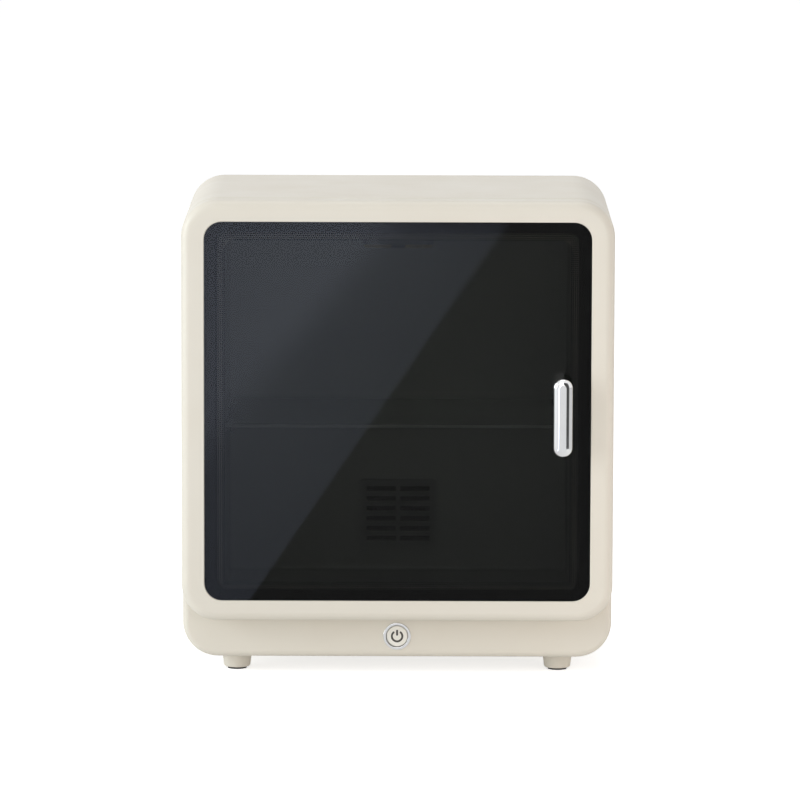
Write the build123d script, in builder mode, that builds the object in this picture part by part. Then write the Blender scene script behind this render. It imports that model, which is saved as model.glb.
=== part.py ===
from build123d import *
import os
from math import cos, radians, sin

os.makedirs("parts", exist_ok=True)

# Warm-air and UV sterilizing cabinet for bottles, in millimetres.
# +Z is up, the door faces -Y, and the origin is on the table below the middle of the whole box.

# Overall sizes
cabinet_width = 340.0
cabinet_height = 380.0
corner_radius = 28.0
foot_height = 14.0
plinth_height = 33.0
body_depth = 192.0
door_thickness = 24.0
door_gap = 1.0
handle_reach = 20.0

# Clearances, and the one length by which cuts run past a face
loose_gap = 0.3
close_gap = 0.15
running_gap = 0.05
screw_gap = 0.1
cut_overrun = 5.0

# Housing and rear cover
housing_wall = 2.5
front_wall = 3.0
front_edge_radius = 5.0
rear_cover_depth = 14.0
rear_edge_radius = 6.0
tongue_length = 4.0
tongue_thickness = 1.6
tongue_root = 3.0
rear_boss_width = 14.0
rear_boss_height = 12.0
rear_boss_length = 14.0
rear_post_radius = 5.6
rear_screw_inset = 11.0
rear_screw_margin = 36.0
rear_screw_head_radius = 3.4
rear_screw_head_height = 2.4
rear_screw_radius = 1.7
rear_screw_length = 17.0
rear_screw_sink = 5.0
louvre_height = 2.6
louvre_spacing = 6.5
louvre_slope = 52.0
intake_louvre_width = 56.0
intake_louvre_count = 9
exhaust_louvre_width = 90.0
exhaust_louvre_count = 4
exhaust_drop = 52.0

# Cavity and liner
cavity_side_inset = 32.0
cavity_bottom_inset = 11.0
cavity_top_inset = 32.0
cavity_rear_room = 34.0
opening_radius = 12.0
liner_sheet = 1.0
liner_bend_radius = 4.0
liner_back_radius = 3.0
liner_flange = 6.0
liner_screw_radius = 1.4
liner_screw_head_radius = 2.4
liner_screw_head_height = 1.8
liner_screw_bite = 2.0
liner_side_screw_shares = (0.2, 0.5, 0.8)
liner_rail_screw_share = 0.25
steam_slot_width = 14.0
steam_slot_height = 3.0
steam_slot_spacing = 20.0
steam_slot_count = 7
steam_slot_setback = 18.0

# Vent grille on the back wall of the cavity
vent_rise = 47.5
vent_plate_width = 62.0
vent_plate_height = 56.0
vent_plate_thickness = 3.5
vent_plate_radius = 3.0
vent_slot_width = 24.0
vent_slot_height = 4.0
vent_slot_spacing = 8.2
vent_slot_rows = 6
vent_bar = 3.6
vent_collar_wall = 1.2
vent_collar_length = 3.0

# Warm-air duct, heater and fan behind the liner
duct_length = 14.0
duct_flange_width = 92.0
duct_flange_thickness = 2.0
duct_stud_spacing_x = 80.0
duct_stud_spacing_z = 50.0
duct_stud_radius = 2.0
duct_stud_length = 6.0
nut_across_flats = 7.0
nut_height = 3.0
heater_depth = 10.0
heater_bar_height = 3.5
heater_bar_count = 3
heater_fin_thickness = 0.8
heater_fin_count = 17
thermostat_radius = 6.0
thermostat_height = 7.0
thermostat_cap_radius = 4.5
thermostat_cap_height = 2.5
fan_size = 70.0
fan_thickness = 10.0
fan_corner_radius = 4.0
fan_bore_radius = 33.0
fan_hole_spacing = 60.0
fan_screw_radius = 1.5
fan_screw_head_radius = 2.7
fan_screw_head_height = 2.0
fan_screw_bite = 8.0
fan_spider_thickness = 2.0
fan_spoke_width = 4.0
fan_spoke_count = 4
fan_hub_radius = 13.0
fan_blade_gap = 2.0
fan_blade_count = 11
fan_blade_chord = 18.0
fan_blade_thickness = 1.2
fan_blade_angle = 17.0
fan_shaft_radius = 1.5
fan_end_gap = 0.6

# Lamp on the ceiling of the cavity
lamp_width = 56.0
lamp_depth = 26.0
lamp_drop = 15.0
lamp_wall = 1.5
lamp_corner_radius = 5.0
lamp_edge_radius = 3.0
lamp_flange = 4.0
lamp_base_height = 13.0
lamp_base_wall = 2.0
lamp_clamp_width = 2.0
lamp_ear_length = 12.0
lamp_ear_width = 14.0
lamp_ear_thickness = 2.5
lamp_stud_radius = 1.5
lamp_stud_length = 5.5
lamp_nut_across_flats = 5.5
lamp_nut_height = 2.4
led_board_thickness = 1.6
led_board_margin = 1.5
led_size = 3.5
led_height = 1.4
led_spacing = 12.0
led_count = 4

# Shelf
shelf_rise = 142.0
shelf_thickness = 3.0
shelf_side_gap = 1.5
shelf_front_gap = 1.0
shelf_back_gap = 2.0
shelf_corner_radius = 6.0
shelf_edge_radius = 0.8
peg_radius = 4.0
peg_flat = 1.0
peg_length = 9.0
peg_neck_radius = 2.5
peg_rivet_height = 1.5
peg_inset = 30.0

# Feet
foot_inset = 42.2
foot_setback = 30.0
foot_top_radius = 12.0
foot_bottom_radius = 10.4
foot_edge_radius = 1.6
foot_pad_radius = 7.6
foot_pad_proud = 1.5
foot_pad_thickness = 3.0
foot_screw_radius = 2.0
foot_screw_head_radius = 3.8
foot_screw_head_height = 3.0
foot_screw_bite = 6.0
foot_screw_web = 5.0
foot_boss_radius = 4.8
foot_boss_height = 9.0

# Door
border_side = 18.0
border_top = 16.3
border_bottom = 16.45
door_wall = 2.5
door_edge_radius = 7.0
door_back_edge_radius = 2.0
door_back_wall = 4.0
glass_thickness = 3.2
glass_radius = 14.0
glass_recess = 0.8
glass_lip_radius = 0.7
tape_thickness = 0.8
ledge_width = 8.5
ledge_thickness = 2.5
frame_screw_inset = 12.5
frame_screw_radius = 1.4
frame_screw_head_radius = 2.8
frame_screw_length = 17.0
frame_boss_radius = 3.5
frame_side_screw_shares = (0.31, 0.69)
frame_rail_screw_share = 0.27
gasket_width = 6.0
gasket_depth = 2.2
gasket_proud = 0.7
gasket_side_inset = 21.0
gasket_top_inset = 19.5
gasket_bottom_inset = 6.0
gasket_radius = 16.0
magnet_width = 10.0
magnet_thickness = 4.0
magnet_length = 30.0
magnet_inset = 12.0
magnet_shares = (0.19, 0.81)
strike_width = 12.0
strike_thickness = 1.5
strike_length = 34.0
sensor_width = 5.0
sensor_thickness = 5.0
sensor_length = 18.0

# Handle
handle_width = 15.8
handle_length = 63.0
handle_edge_radius = 5.2
handle_inset = 22.6
handle_drop = 2.0
handle_screw_spacing = 36.0
handle_screw_radius = 1.9
handle_screw_head_radius = 3.8
handle_screw_head_height = 2.6
handle_screw_bite = 9.0
handle_thread_depth = 11.0
glass_hole_radius = 3.2
washer_radius = 6.0
washer_thickness = 1.2

# Hinges
hinge_inset = 9.5
hinge_depth = 11.0
hinge_margin = 45.0
hinge_pin_radius = 2.0
hinge_pin_length = 26.0
hinge_block_width = 20.0
hinge_block_margin = 2.0
knuckle_radius = 4.0
knuckle_height = 5.0
knuckle_side_gap = 0.5
notch_reach = 7.5
hinge_plate_height = 36.0
hinge_plate_thickness = 2.5
hinge_screw_spacing = 24.0
hinge_screw_radius = 1.9
hinge_screw_head_radius = 3.4

# Power button and its switch
button_rise = 17.0
ring_outer_radius = 10.9
ring_inner_radius = 8.75
ring_proud = 0.8
ring_sleeve_radius = 10.0
ring_sleeve_tail = 0.8
ring_edge_radius = 0.35
button_radius = 8.3
button_proud = 0.6
button_edge_radius = 0.7
button_flange_radius = 9.5
button_flange_thickness = 1.2
button_stem_radius = 2.0
button_stem_length = 1.5
switch_size = 6.2
plunger_radius = 1.7
plunger_proud = 1.6
plunger_sunk = 1.2
plunger_bore_depth = 2.6

# Control board and what stands on it
board_width = 88.0
board_height = 32.0
board_rise = 5.0
board_thickness = 1.6
board_boss_radius = 3.5
board_boss_length = 9.0
board_hole_inset_x = 6.0
board_hole_inset_z = 5.0
board_screw_radius = 1.3
board_screw_head_radius = 2.6
board_screw_head_height = 1.9
board_screw_bite = 5.0
transformer_width = 22.0
transformer_height = 18.0
transformer_depth = 16.0
transformer_center_share = -0.22
relay_width = 19.0
relay_height = 15.0
relay_depth = 15.0
relay_center_share = 0.06
capacitor_radius = 5.0
capacitor_depth = 16.0
capacitor_center_share = 0.26
header_width = 6.0
header_height = 5.0
header_depth = 7.0
header_row_rise = 3.5
mains_header_share = 0.36
heater_header_share = 0.2
lamp_header_share = -0.26

# Power inlet in the rear cover
inlet_inset = 60.0
inlet_rise = 22.0
inlet_width = 27.6
inlet_height = 20.0
inlet_radius = 3.0
inlet_depth = 24.0
inlet_flange_width = 46.0
inlet_flange_height = 26.0
inlet_flange_thickness = 2.5
socket_width = 24.4
socket_height = 16.8
socket_depth = 16.0
inlet_pin_width = 2.0
inlet_pin_height = 4.0
inlet_pin_length = 9.0
inlet_pin_spacing = 7.0
inlet_pin_rise = 2.0
inlet_screw_spacing = 37.0
inlet_screw_radius = 1.4
inlet_screw_head_radius = 2.8

# Leads inside the cabinet
lead_radius = 1.5
lead_bend_radius = 16.0
lamp_lead_side = 80.0
lamp_lead_setback = 10.0
lamp_lead_entry = 20.0

# Places that follow from these sizes
total_depth = handle_reach - glass_recess + door_thickness + door_gap + body_depth
rear_face = total_depth / 2
housing_front = rear_face - body_depth
door_back = housing_front - door_gap
door_front = door_back - door_thickness
glass_front = door_front + glass_recess
half_width = cabinet_width / 2
body_bottom = foot_height
body_height = cabinet_height - foot_height
body_middle = body_bottom + body_height / 2
parting_face = rear_face - rear_cover_depth
wall_inside = housing_front + front_wall
door_bottom = body_bottom + plinth_height
door_height = cabinet_height - door_bottom
door_middle = door_bottom + door_height / 2
cavity_width = cabinet_width - 2 * cavity_side_inset
cavity_bottom = door_bottom + cavity_bottom_inset
cavity_top = cabinet_height - cavity_top_inset
cavity_back = rear_face - cavity_rear_room
cavity_depth = cavity_back - wall_inside
cavity_height = cavity_top - cavity_bottom
cavity_middle = cavity_bottom + cavity_height / 2
liner_back = cavity_back + liner_sheet
liner_roof = cavity_top + liner_sheet
hinge_x = hinge_inset - half_width
hinge_y = door_back - hinge_depth
hinge_heights = (door_bottom + hinge_margin, cabinet_height - hinge_margin)
pocket_width = cabinet_width - 2 * border_side
pocket_height = door_height - border_top - border_bottom
pocket_middle = door_bottom + border_bottom + pocket_height / 2
sight_width = pocket_width - 2 * ledge_width
sight_height = pocket_height - 2 * ledge_width
sight_radius = glass_radius - ledge_width / 2
ledge_front = glass_front + glass_thickness + tape_thickness
handle_x = pocket_width / 2 - handle_inset
handle_z = pocket_middle - handle_drop
shelf_top = cavity_bottom + shelf_rise
vent_z = cavity_bottom + vent_rise
fan_front = liner_back + duct_length
vent_opening_width = 2 * vent_slot_width + vent_bar + 2 * vent_collar_wall
vent_opening_height = (
    (vent_slot_rows - 1) * vent_slot_spacing + vent_slot_height + 2 * vent_collar_wall
)
lamp_middle = wall_inside + cavity_depth / 2
button_z = body_bottom + button_rise
board_bottom = body_bottom + board_rise
board_front = wall_inside + board_boss_length
board_back = board_front + board_thickness
board_middle = board_bottom + board_height / 2
header_back = board_back + header_depth
inlet_x = half_width - inlet_inset
inlet_z = body_bottom + inlet_rise

# Turns in degrees that make a screw head or the mouth of a hole look one way
FRONT_ANGLES = (90, 0, 0)
REAR_ANGLES = (-90, 0, 0)
UP_ANGLES = (0, 0, 0)
DOWN_ANGLES = (180, 0, 0)
OUTWARD = (Align.CENTER, Align.CENTER, Align.MIN)
INWARD = (Align.CENTER, Align.CENTER, Align.MAX)


def upright(y):
    """The upright plane at depth y, seen from the front: its own x and y are X and Z."""
    return Plane.XZ.offset(-y)


def looking(facing, places):
    """The places turned so that their own z looks along facing."""
    return Locations(*[Location(place, facing) for place in places])


def pan_screws(places, facing, head_radius, head_height, shank_radius, shank_length):
    """Like screws with flat heads that sit on their places."""
    with BuildPart() as group:
        with looking(facing, places):
            Cylinder(head_radius, head_height, align=OUTWARD)
            Cylinder(shank_radius, shank_length, align=INWARD)
    return group.part


def sunk_screws(places, facing, head_radius, shank_radius, shank_length):
    """Like screws with conical heads that end level with their places."""
    with BuildPart() as group:
        with looking(facing, places):
            Cone(shank_radius, head_radius, head_radius - shank_radius, align=INWARD)
            Cylinder(shank_radius, shank_length, align=INWARD)
    return group.part


def hex_nuts(places, facing, across_flats, height, bore):
    """Like hexagon nuts that sit on their places."""
    with BuildPart() as group:
        for place in places:
            with BuildSketch(Plane(Location(place, facing))):
                RegularPolygon(across_flats / 2, 6, major_radius=False)
                Circle(bore, mode=Mode.SUBTRACT)
            extrude(amount=height)
    return group.part


def finish(piece, name):
    """Names a finished piece and writes its file."""
    piece.label = name
    export_step(piece, f"parts/{name}.step")


# Housing: one moulding with the front wall, the plinth and the four sides, open at the back
foot_places = [
    (x, y, body_bottom)
    for x in (foot_inset - half_width, half_width - foot_inset)
    for y in (housing_front + foot_setback, rear_face - foot_setback)
]
rear_screw_x = half_width - rear_screw_inset
rear_screw_heights = (
    body_bottom + rear_screw_margin,
    body_middle,
    cabinet_height - rear_screw_margin,
)
rear_boss_end = parting_face - tongue_length - loose_gap
rear_boss_places = [
    (x, rear_boss_end, z) for x in (-rear_screw_x, rear_screw_x) for z in rear_screw_heights
]
board_hole_x = board_width / 2 - board_hole_inset_x
board_hole_places = [
    (x, board_front, z)
    for x in (-board_hole_x, board_hole_x)
    for z in (board_bottom + board_hole_inset_z, board_bottom + board_height - board_hole_inset_z)
]
flange_middle = cavity_width / 2 + liner_sheet + liner_flange / 2
liner_screw_places = [
    (x, wall_inside + liner_sheet, cavity_bottom + share * cavity_height)
    for x in (-flange_middle, flange_middle)
    for share in liner_side_screw_shares
] + [
    (side * liner_rail_screw_share * cavity_width, wall_inside + liner_sheet, z)
    for side in (-1, 1)
    for z in (
        cavity_bottom - liner_sheet - liner_flange / 2,
        cavity_top + liner_sheet + liner_flange / 2,
    )
]
hinge_screw_places = [
    (hinge_x, housing_front, z + side * hinge_screw_spacing / 2)
    for z in hinge_heights
    for side in (-1, 1)
]
with BuildPart() as housing:
    with BuildSketch(upright(housing_front)):
        with Locations((0, body_middle)):
            RectangleRounded(cabinet_width, body_height, corner_radius)
    extrude(amount=housing_front - parting_face)
    fillet(housing.edges().group_by(Axis.Y)[0], front_edge_radius)
    with BuildSketch(upright(wall_inside)):
        with Locations((0, body_middle)):
            RectangleRounded(
                cabinet_width - 2 * housing_wall,
                body_height - 2 * housing_wall,
                corner_radius - housing_wall,
            )
    extrude(amount=wall_inside - parting_face, mode=Mode.SUBTRACT)
    with BuildSketch(upright(wall_inside)):
        with Locations((0, cavity_middle)):
            RectangleRounded(cavity_width, cavity_height, opening_radius)
    extrude(amount=front_wall + cut_overrun, mode=Mode.SUBTRACT)
    with looking(UP_ANGLES, foot_places):
        Cylinder(foot_boss_radius, foot_boss_height, align=OUTWARD)
        Cylinder(foot_screw_radius + screw_gap, foot_boss_height, align=OUTWARD, mode=Mode.SUBTRACT)
    boss_reach = rear_boss_width / 2 + rear_screw_inset - housing_wall / 2
    for side in (-1, 1):
        boss_inner_x = side * (rear_screw_x - rear_boss_width / 2)
        with Locations(*[(boss_inner_x, rear_boss_end, z) for z in rear_screw_heights]):
            Box(
                boss_reach,
                rear_boss_length,
                rear_boss_height,
                align=(Align.MIN if side > 0 else Align.MAX, Align.MAX, Align.CENTER),
            )
    with looking(REAR_ANGLES, rear_boss_places):
        Hole(rear_screw_radius + screw_gap, depth=rear_boss_length)
    with looking(FRONT_ANGLES, [(x, wall_inside, z) for x, y, z in board_hole_places]):
        Cylinder(board_boss_radius, board_boss_length, align=INWARD)
    with looking(REAR_ANGLES, board_hole_places):
        Hole(board_screw_radius + screw_gap, depth=board_boss_length)
    with looking(REAR_ANGLES, [(x, wall_inside, z) for x, y, z in liner_screw_places]):
        Hole(liner_screw_radius + screw_gap, depth=liner_screw_bite + screw_gap)
    with looking(FRONT_ANGLES, [(0, housing_front, button_z)]):
        Hole(ring_sleeve_radius + close_gap, depth=front_wall)
    with looking(FRONT_ANGLES, [(hinge_x, housing_front, z) for z in hinge_heights]):
        Box(
            2 * (knuckle_radius + loose_gap),
            knuckle_height + 2 * loose_gap,
            front_wall,
            align=INWARD,
            mode=Mode.SUBTRACT,
        )
    with looking(FRONT_ANGLES, hinge_screw_places):
        CounterSinkHole(
            hinge_screw_radius + screw_gap,
            hinge_screw_head_radius + screw_gap,
            depth=front_wall,
            counter_sink_angle=90,
        )
finish(housing.part, "housing")

# Rear cover: a dished moulding with a tongue that enters the housing, louvres and screw posts
cover_inside = rear_face - housing_wall
rear_screw_seat = rear_face - rear_screw_sink
with BuildPart() as rear_cover:
    with BuildSketch(upright(parting_face)):
        with Locations((0, body_middle)):
            RectangleRounded(cabinet_width, body_height, corner_radius)
    extrude(amount=-rear_cover_depth)
    fillet(rear_cover.edges().group_by(Axis.Y)[-1], rear_edge_radius)
    with BuildSketch(upright(parting_face)):
        with Locations((0, body_middle)):
            RectangleRounded(
                cabinet_width - 2 * housing_wall,
                body_height - 2 * housing_wall,
                corner_radius - housing_wall,
            )
    extrude(amount=parting_face - cover_inside, mode=Mode.SUBTRACT)
    floor_edges = rear_cover.faces().filter_by(Plane.XZ).sort_by(Axis.Y)[-2].outer_wire().edges()
    fillet(floor_edges, rear_edge_radius - housing_wall)
    tongue_inset = housing_wall + tongue_thickness
    for outer_inset, length in (
        (housing_wall - close_gap, -tongue_root),
        (housing_wall + close_gap, tongue_length),
    ):
        with BuildSketch(upright(parting_face)):
            with Locations((0, body_middle)):
                RectangleRounded(
                    cabinet_width - 2 * outer_inset,
                    body_height - 2 * outer_inset,
                    corner_radius - outer_inset,
                )
                RectangleRounded(
                    cabinet_width - 2 * tongue_inset,
                    body_height - 2 * tongue_inset,
                    corner_radius - tongue_inset,
                    mode=Mode.SUBTRACT,
                )
        extrude(amount=length)
    with looking(FRONT_ANGLES, [(x, cover_inside, z) for x, y, z in rear_boss_places]):
        Cylinder(rear_post_radius, cover_inside - rear_boss_end, align=OUTWARD)
    with looking(REAR_ANGLES, [(x, rear_face, z) for x, y, z in rear_boss_places]):
        CounterBoreHole(
            rear_screw_radius + screw_gap,
            rear_screw_head_radius + loose_gap,
            rear_screw_sink,
            depth=rear_face - rear_boss_end,
        )
    for middle, louvre_width, louvre_count in (
        (vent_z, intake_louvre_width, intake_louvre_count),
        (cabinet_height - exhaust_drop, exhaust_louvre_width, exhaust_louvre_count),
    ):
        with BuildSketch(upright(cover_inside)):
            with Locations((0, middle)):
                with GridLocations(0, louvre_spacing, 1, louvre_count):
                    SlotOverall(louvre_width, louvre_height)
        extrude(
            amount=(housing_wall + cut_overrun) / cos(radians(louvre_slope)),
            dir=(0, cos(radians(louvre_slope)), -sin(radians(louvre_slope))),
            mode=Mode.SUBTRACT,
        )
    with BuildSketch(upright(cover_inside)):
        with Locations((inlet_x, inlet_z)):
            RectangleRounded(
                inlet_width + 2 * close_gap, inlet_height + 2 * close_gap, inlet_radius + close_gap
            )
    extrude(amount=-(housing_wall + cut_overrun), mode=Mode.SUBTRACT)
    inlet_screw_places = [
        (inlet_x + side * inlet_screw_spacing / 2, rear_face, inlet_z)
        for side in (-1, 1)
    ]
    with looking(REAR_ANGLES, inlet_screw_places):
        CounterSinkHole(
            inlet_screw_radius + screw_gap,
            inlet_screw_head_radius + screw_gap,
            depth=housing_wall,
            counter_sink_angle=90,
        )
finish(rear_cover.part, "rear_cover")

rear_cover_screws = pan_screws(
    [(x, rear_screw_seat, z) for x, y, z in rear_boss_places],
    REAR_ANGLES,
    rear_screw_head_radius,
    rear_screw_head_height,
    rear_screw_radius,
    rear_screw_length,
)
finish(rear_cover_screws, "rear_cover_screws")

# Inner liner: a folded steel box with a flange behind the front wall and welded studs outside
duct_stud_places = [
    (x, liner_back, vent_z + z)
    for x in (-duct_stud_spacing_x / 2, duct_stud_spacing_x / 2)
    for z in (-duct_stud_spacing_z / 2, duct_stud_spacing_z / 2)
]
lamp_base_width = lamp_width + 2 * (lamp_flange + lamp_base_wall)
lamp_base_depth = lamp_depth + 2 * (lamp_flange + lamp_base_wall)
lamp_stud_x = (lamp_base_width + lamp_ear_length) / 2
lamp_stud_places = [(side * lamp_stud_x, lamp_middle, liner_roof) for side in (-1, 1)]
peg_height = shelf_top - shelf_thickness - peg_radius + peg_flat
peg_places = [
    (side * cavity_width / 2, y, peg_height)
    for side in (-1, 1)
    for y in (wall_inside + peg_inset, cavity_back - peg_inset)
]
with BuildPart() as cavity_form:
    with BuildSketch(upright(wall_inside)):
        with Locations((0, cavity_middle)):
            RectangleRounded(cavity_width, cavity_height, liner_bend_radius)
    extrude(amount=-cavity_depth)
    fillet(cavity_form.edges().group_by(Axis.Y)[-1], liner_back_radius)

with BuildPart() as inner_liner:
    with BuildSketch(upright(wall_inside)):
        with Locations((0, cavity_middle)):
            RectangleRounded(
                cavity_width + 2 * liner_sheet,
                cavity_height + 2 * liner_sheet,
                liner_bend_radius + liner_sheet,
            )
    extrude(amount=wall_inside - liner_back)
    fillet(inner_liner.edges().group_by(Axis.Y)[-1], liner_back_radius + liner_sheet)
    with BuildSketch(upright(wall_inside)):
        with Locations((0, cavity_middle)):
            RectangleRounded(
                cavity_width + 2 * (liner_sheet + liner_flange),
                cavity_height + 2 * (liner_sheet + liner_flange),
                liner_bend_radius + liner_flange,
            )
    extrude(amount=-liner_sheet)
    add(cavity_form.part, mode=Mode.SUBTRACT)
    with BuildSketch(upright(cavity_back)):
        with Locations((0, vent_z)):
            Rectangle(vent_opening_width + 2 * close_gap, vent_opening_height + 2 * close_gap)
    extrude(amount=-(liner_sheet + cut_overrun), mode=Mode.SUBTRACT)
    with BuildSketch(Plane.XY.offset(cavity_top)):
        with Locations((0, lamp_middle)):
            RectangleRounded(
                lamp_width + 2 * close_gap, lamp_depth + 2 * close_gap, lamp_corner_radius + close_gap
            )
        with Locations((0, cavity_back - steam_slot_setback)):
            with GridLocations(steam_slot_spacing, 0, steam_slot_count, 1):
                SlotOverall(steam_slot_width, steam_slot_height)
    extrude(amount=liner_sheet + cut_overrun, mode=Mode.SUBTRACT)
    with looking(REAR_ANGLES, duct_stud_places):
        Cylinder(duct_stud_radius, duct_stud_length, align=OUTWARD)
    with looking(UP_ANGLES, lamp_stud_places):
        Cylinder(lamp_stud_radius, lamp_stud_length, align=OUTWARD)
    with looking(REAR_ANGLES, liner_screw_places):
        Hole(liner_screw_radius + screw_gap, depth=liner_sheet)
    with Locations(*[Location(place, (0, 90, 0)) for place in peg_places]):
        Cylinder(peg_neck_radius + close_gap, 2 * liner_sheet + cut_overrun, mode=Mode.SUBTRACT)
finish(inner_liner.part, "inner_liner")

liner_screws = pan_screws(
    liner_screw_places,
    REAR_ANGLES,
    liner_screw_head_radius,
    liner_screw_head_height,
    liner_screw_radius,
    liner_sheet + liner_screw_bite,
)
finish(liner_screws, "liner_screws")

# Vent grille: a slotted plate on the back wall, with a collar through the liner's opening
with BuildPart() as vent_grille:
    with BuildSketch(upright(cavity_back)):
        with Locations((0, vent_z)):
            RectangleRounded(vent_plate_width, vent_plate_height, vent_plate_radius)
            with GridLocations(vent_slot_width + vent_bar, vent_slot_spacing, 2, vent_slot_rows):
                Rectangle(vent_slot_width, vent_slot_height, mode=Mode.SUBTRACT)
    extrude(amount=vent_plate_thickness)
    with BuildSketch(upright(cavity_back)):
        with Locations((0, vent_z)):
            Rectangle(vent_opening_width, vent_opening_height)
            Rectangle(
                vent_opening_width - 2 * vent_collar_wall,
                vent_opening_height - 2 * vent_collar_wall,
                mode=Mode.SUBTRACT,
            )
    extrude(amount=-vent_collar_length)
finish(vent_grille.part, "vent_grille")

# Heater duct: a square sleeve between the liner and the fan, on the liner's studs
fan_hole_places = [
    (x, fan_front, vent_z + z)
    for x in (-fan_hole_spacing / 2, fan_hole_spacing / 2)
    for z in (-fan_hole_spacing / 2, fan_hole_spacing / 2)
]
duct_inside_width = vent_opening_width + 2 * close_gap
duct_inside_height = vent_opening_height + 2 * close_gap
with BuildPart() as heater_duct:
    with BuildSketch(upright(liner_back)):
        with Locations((0, vent_z)):
            Rectangle(duct_flange_width, fan_size)
    extrude(amount=-duct_flange_thickness)
    with BuildSketch(upright(liner_back)):
        with Locations((0, vent_z)):
            RectangleRounded(fan_size, fan_size, fan_corner_radius)
    extrude(amount=-duct_length)
    with BuildSketch(upright(liner_back)):
        with Locations((0, vent_z)):
            Rectangle(duct_inside_width, duct_inside_height)
    extrude(amount=-(duct_length + cut_overrun), mode=Mode.SUBTRACT)
    with looking(REAR_ANGLES, [(x, y + duct_flange_thickness, z) for x, y, z in duct_stud_places]):
        Hole(duct_stud_radius + screw_gap, depth=duct_flange_thickness)
    with looking(REAR_ANGLES, fan_hole_places):
        Hole(fan_screw_radius + screw_gap, depth=fan_screw_bite + screw_gap)
finish(heater_duct.part, "heater_duct")

duct_nuts = hex_nuts(
    [(x, y + duct_flange_thickness, z) for x, y, z in duct_stud_places],
    REAR_ANGLES,
    nut_across_flats,
    nut_height,
    duct_stud_radius + screw_gap,
)
finish(duct_nuts, "duct_nuts")

# Heater core: flat heating bars with thin fins across them, standing on the duct's floor
heater_width = duct_inside_width - 2 * loose_gap
heater_height = duct_inside_height - 2 * loose_gap
heater_bottom = vent_z - duct_inside_height / 2
heater_middle = heater_bottom + heater_height / 2
heater_front = liner_back + vent_collar_length
with BuildPart() as heater_core:
    with BuildSketch(upright(heater_front)):
        with Locations((0, heater_middle)):
            bar_spacing = (heater_height - heater_bar_height) / (heater_bar_count - 1)
            with GridLocations(0, bar_spacing, 1, heater_bar_count):
                Rectangle(heater_width, heater_bar_height)
            fin_spacing = (heater_width - heater_fin_thickness) / (heater_fin_count - 1)
            with GridLocations(fin_spacing, 0, heater_fin_count, 1):
                Rectangle(heater_fin_thickness, heater_height)
    extrude(amount=-heater_depth)
finish(heater_core.part, "heater_core")

# Thermostat: a round safety cut-out on top of the duct
duct_top = vent_z + fan_size / 2
thermostat_y = liner_back + duct_length / 2
with BuildPart() as thermostat:
    with BuildSketch(Plane.XY.offset(duct_top)):
        with Locations((0, thermostat_y)):
            Circle(thermostat_radius)
    extrude(amount=thermostat_height)
    with BuildSketch(Plane.XY.offset(duct_top + thermostat_height)):
        with Locations((0, thermostat_y)):
            Circle(thermostat_cap_radius)
    extrude(amount=thermostat_cap_height)
finish(thermostat.part, "thermostat")

# Fan frame: a square frame with a round bore and a spider that carries the rotor's shaft
fan_back = fan_front + fan_thickness
spider_front = fan_back - fan_spider_thickness
with BuildPart() as fan_frame:
    with BuildSketch(upright(fan_front)):
        with Locations((0, vent_z)):
            RectangleRounded(fan_size, fan_size, fan_corner_radius)
            Circle(fan_bore_radius, mode=Mode.SUBTRACT)
    extrude(amount=-fan_thickness)
    with BuildSketch(upright(spider_front)):
        with Locations((0, vent_z)):
            Circle(fan_hub_radius)
            with PolarLocations(fan_bore_radius / 2, fan_spoke_count):
                Rectangle(fan_bore_radius, fan_spoke_width)
            Circle(fan_shaft_radius + running_gap, mode=Mode.SUBTRACT)
    extrude(amount=-fan_spider_thickness)
    with looking(REAR_ANGLES, [(x, fan_back, z) for x, y, z in fan_hole_places]):
        Hole(fan_screw_radius + screw_gap, depth=fan_thickness)
finish(fan_frame.part, "fan_frame")

fan_screws = pan_screws(
    [(x, fan_back, z) for x, y, z in fan_hole_places],
    REAR_ANGLES,
    fan_screw_head_radius,
    fan_screw_head_height,
    fan_screw_radius,
    fan_thickness + fan_screw_bite,
)
finish(fan_screws, "fan_screws")

# Fan rotor: a hub with pitched blades on a short shaft
rotor_front = fan_front + fan_end_gap
rotor_back = spider_front - fan_end_gap
rotor_length = rotor_back - rotor_front
blade_reach = fan_bore_radius - fan_blade_gap
blade_root = fan_hub_radius - fan_blade_thickness
with BuildPart() as fan_rotor:
    with BuildSketch(upright(rotor_front)):
        with Locations((0, vent_z)):
            Circle(fan_hub_radius)
    extrude(amount=-rotor_length)
    for index in range(fan_blade_count):
        turn = 360 * index / fan_blade_count
        middle_radius = (blade_root + blade_reach) / 2
        blade_place = Location(
            (
                middle_radius * cos(radians(turn)),
                rotor_front + rotor_length / 2,
                vent_z - middle_radius * sin(radians(turn)),
            ),
            (0, turn, 0),
        )
        with Locations(blade_place):
            Box(
                blade_reach - blade_root,
                fan_blade_thickness,
                fan_blade_chord,
                rotation=(fan_blade_angle, 0, 0),
            )
    with BuildSketch(upright(rotor_back)):
        with Locations((0, vent_z)):
            Circle(fan_shaft_radius)
    extrude(amount=-(fan_end_gap + fan_spider_thickness))
finish(fan_rotor.part, "fan_rotor")

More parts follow.
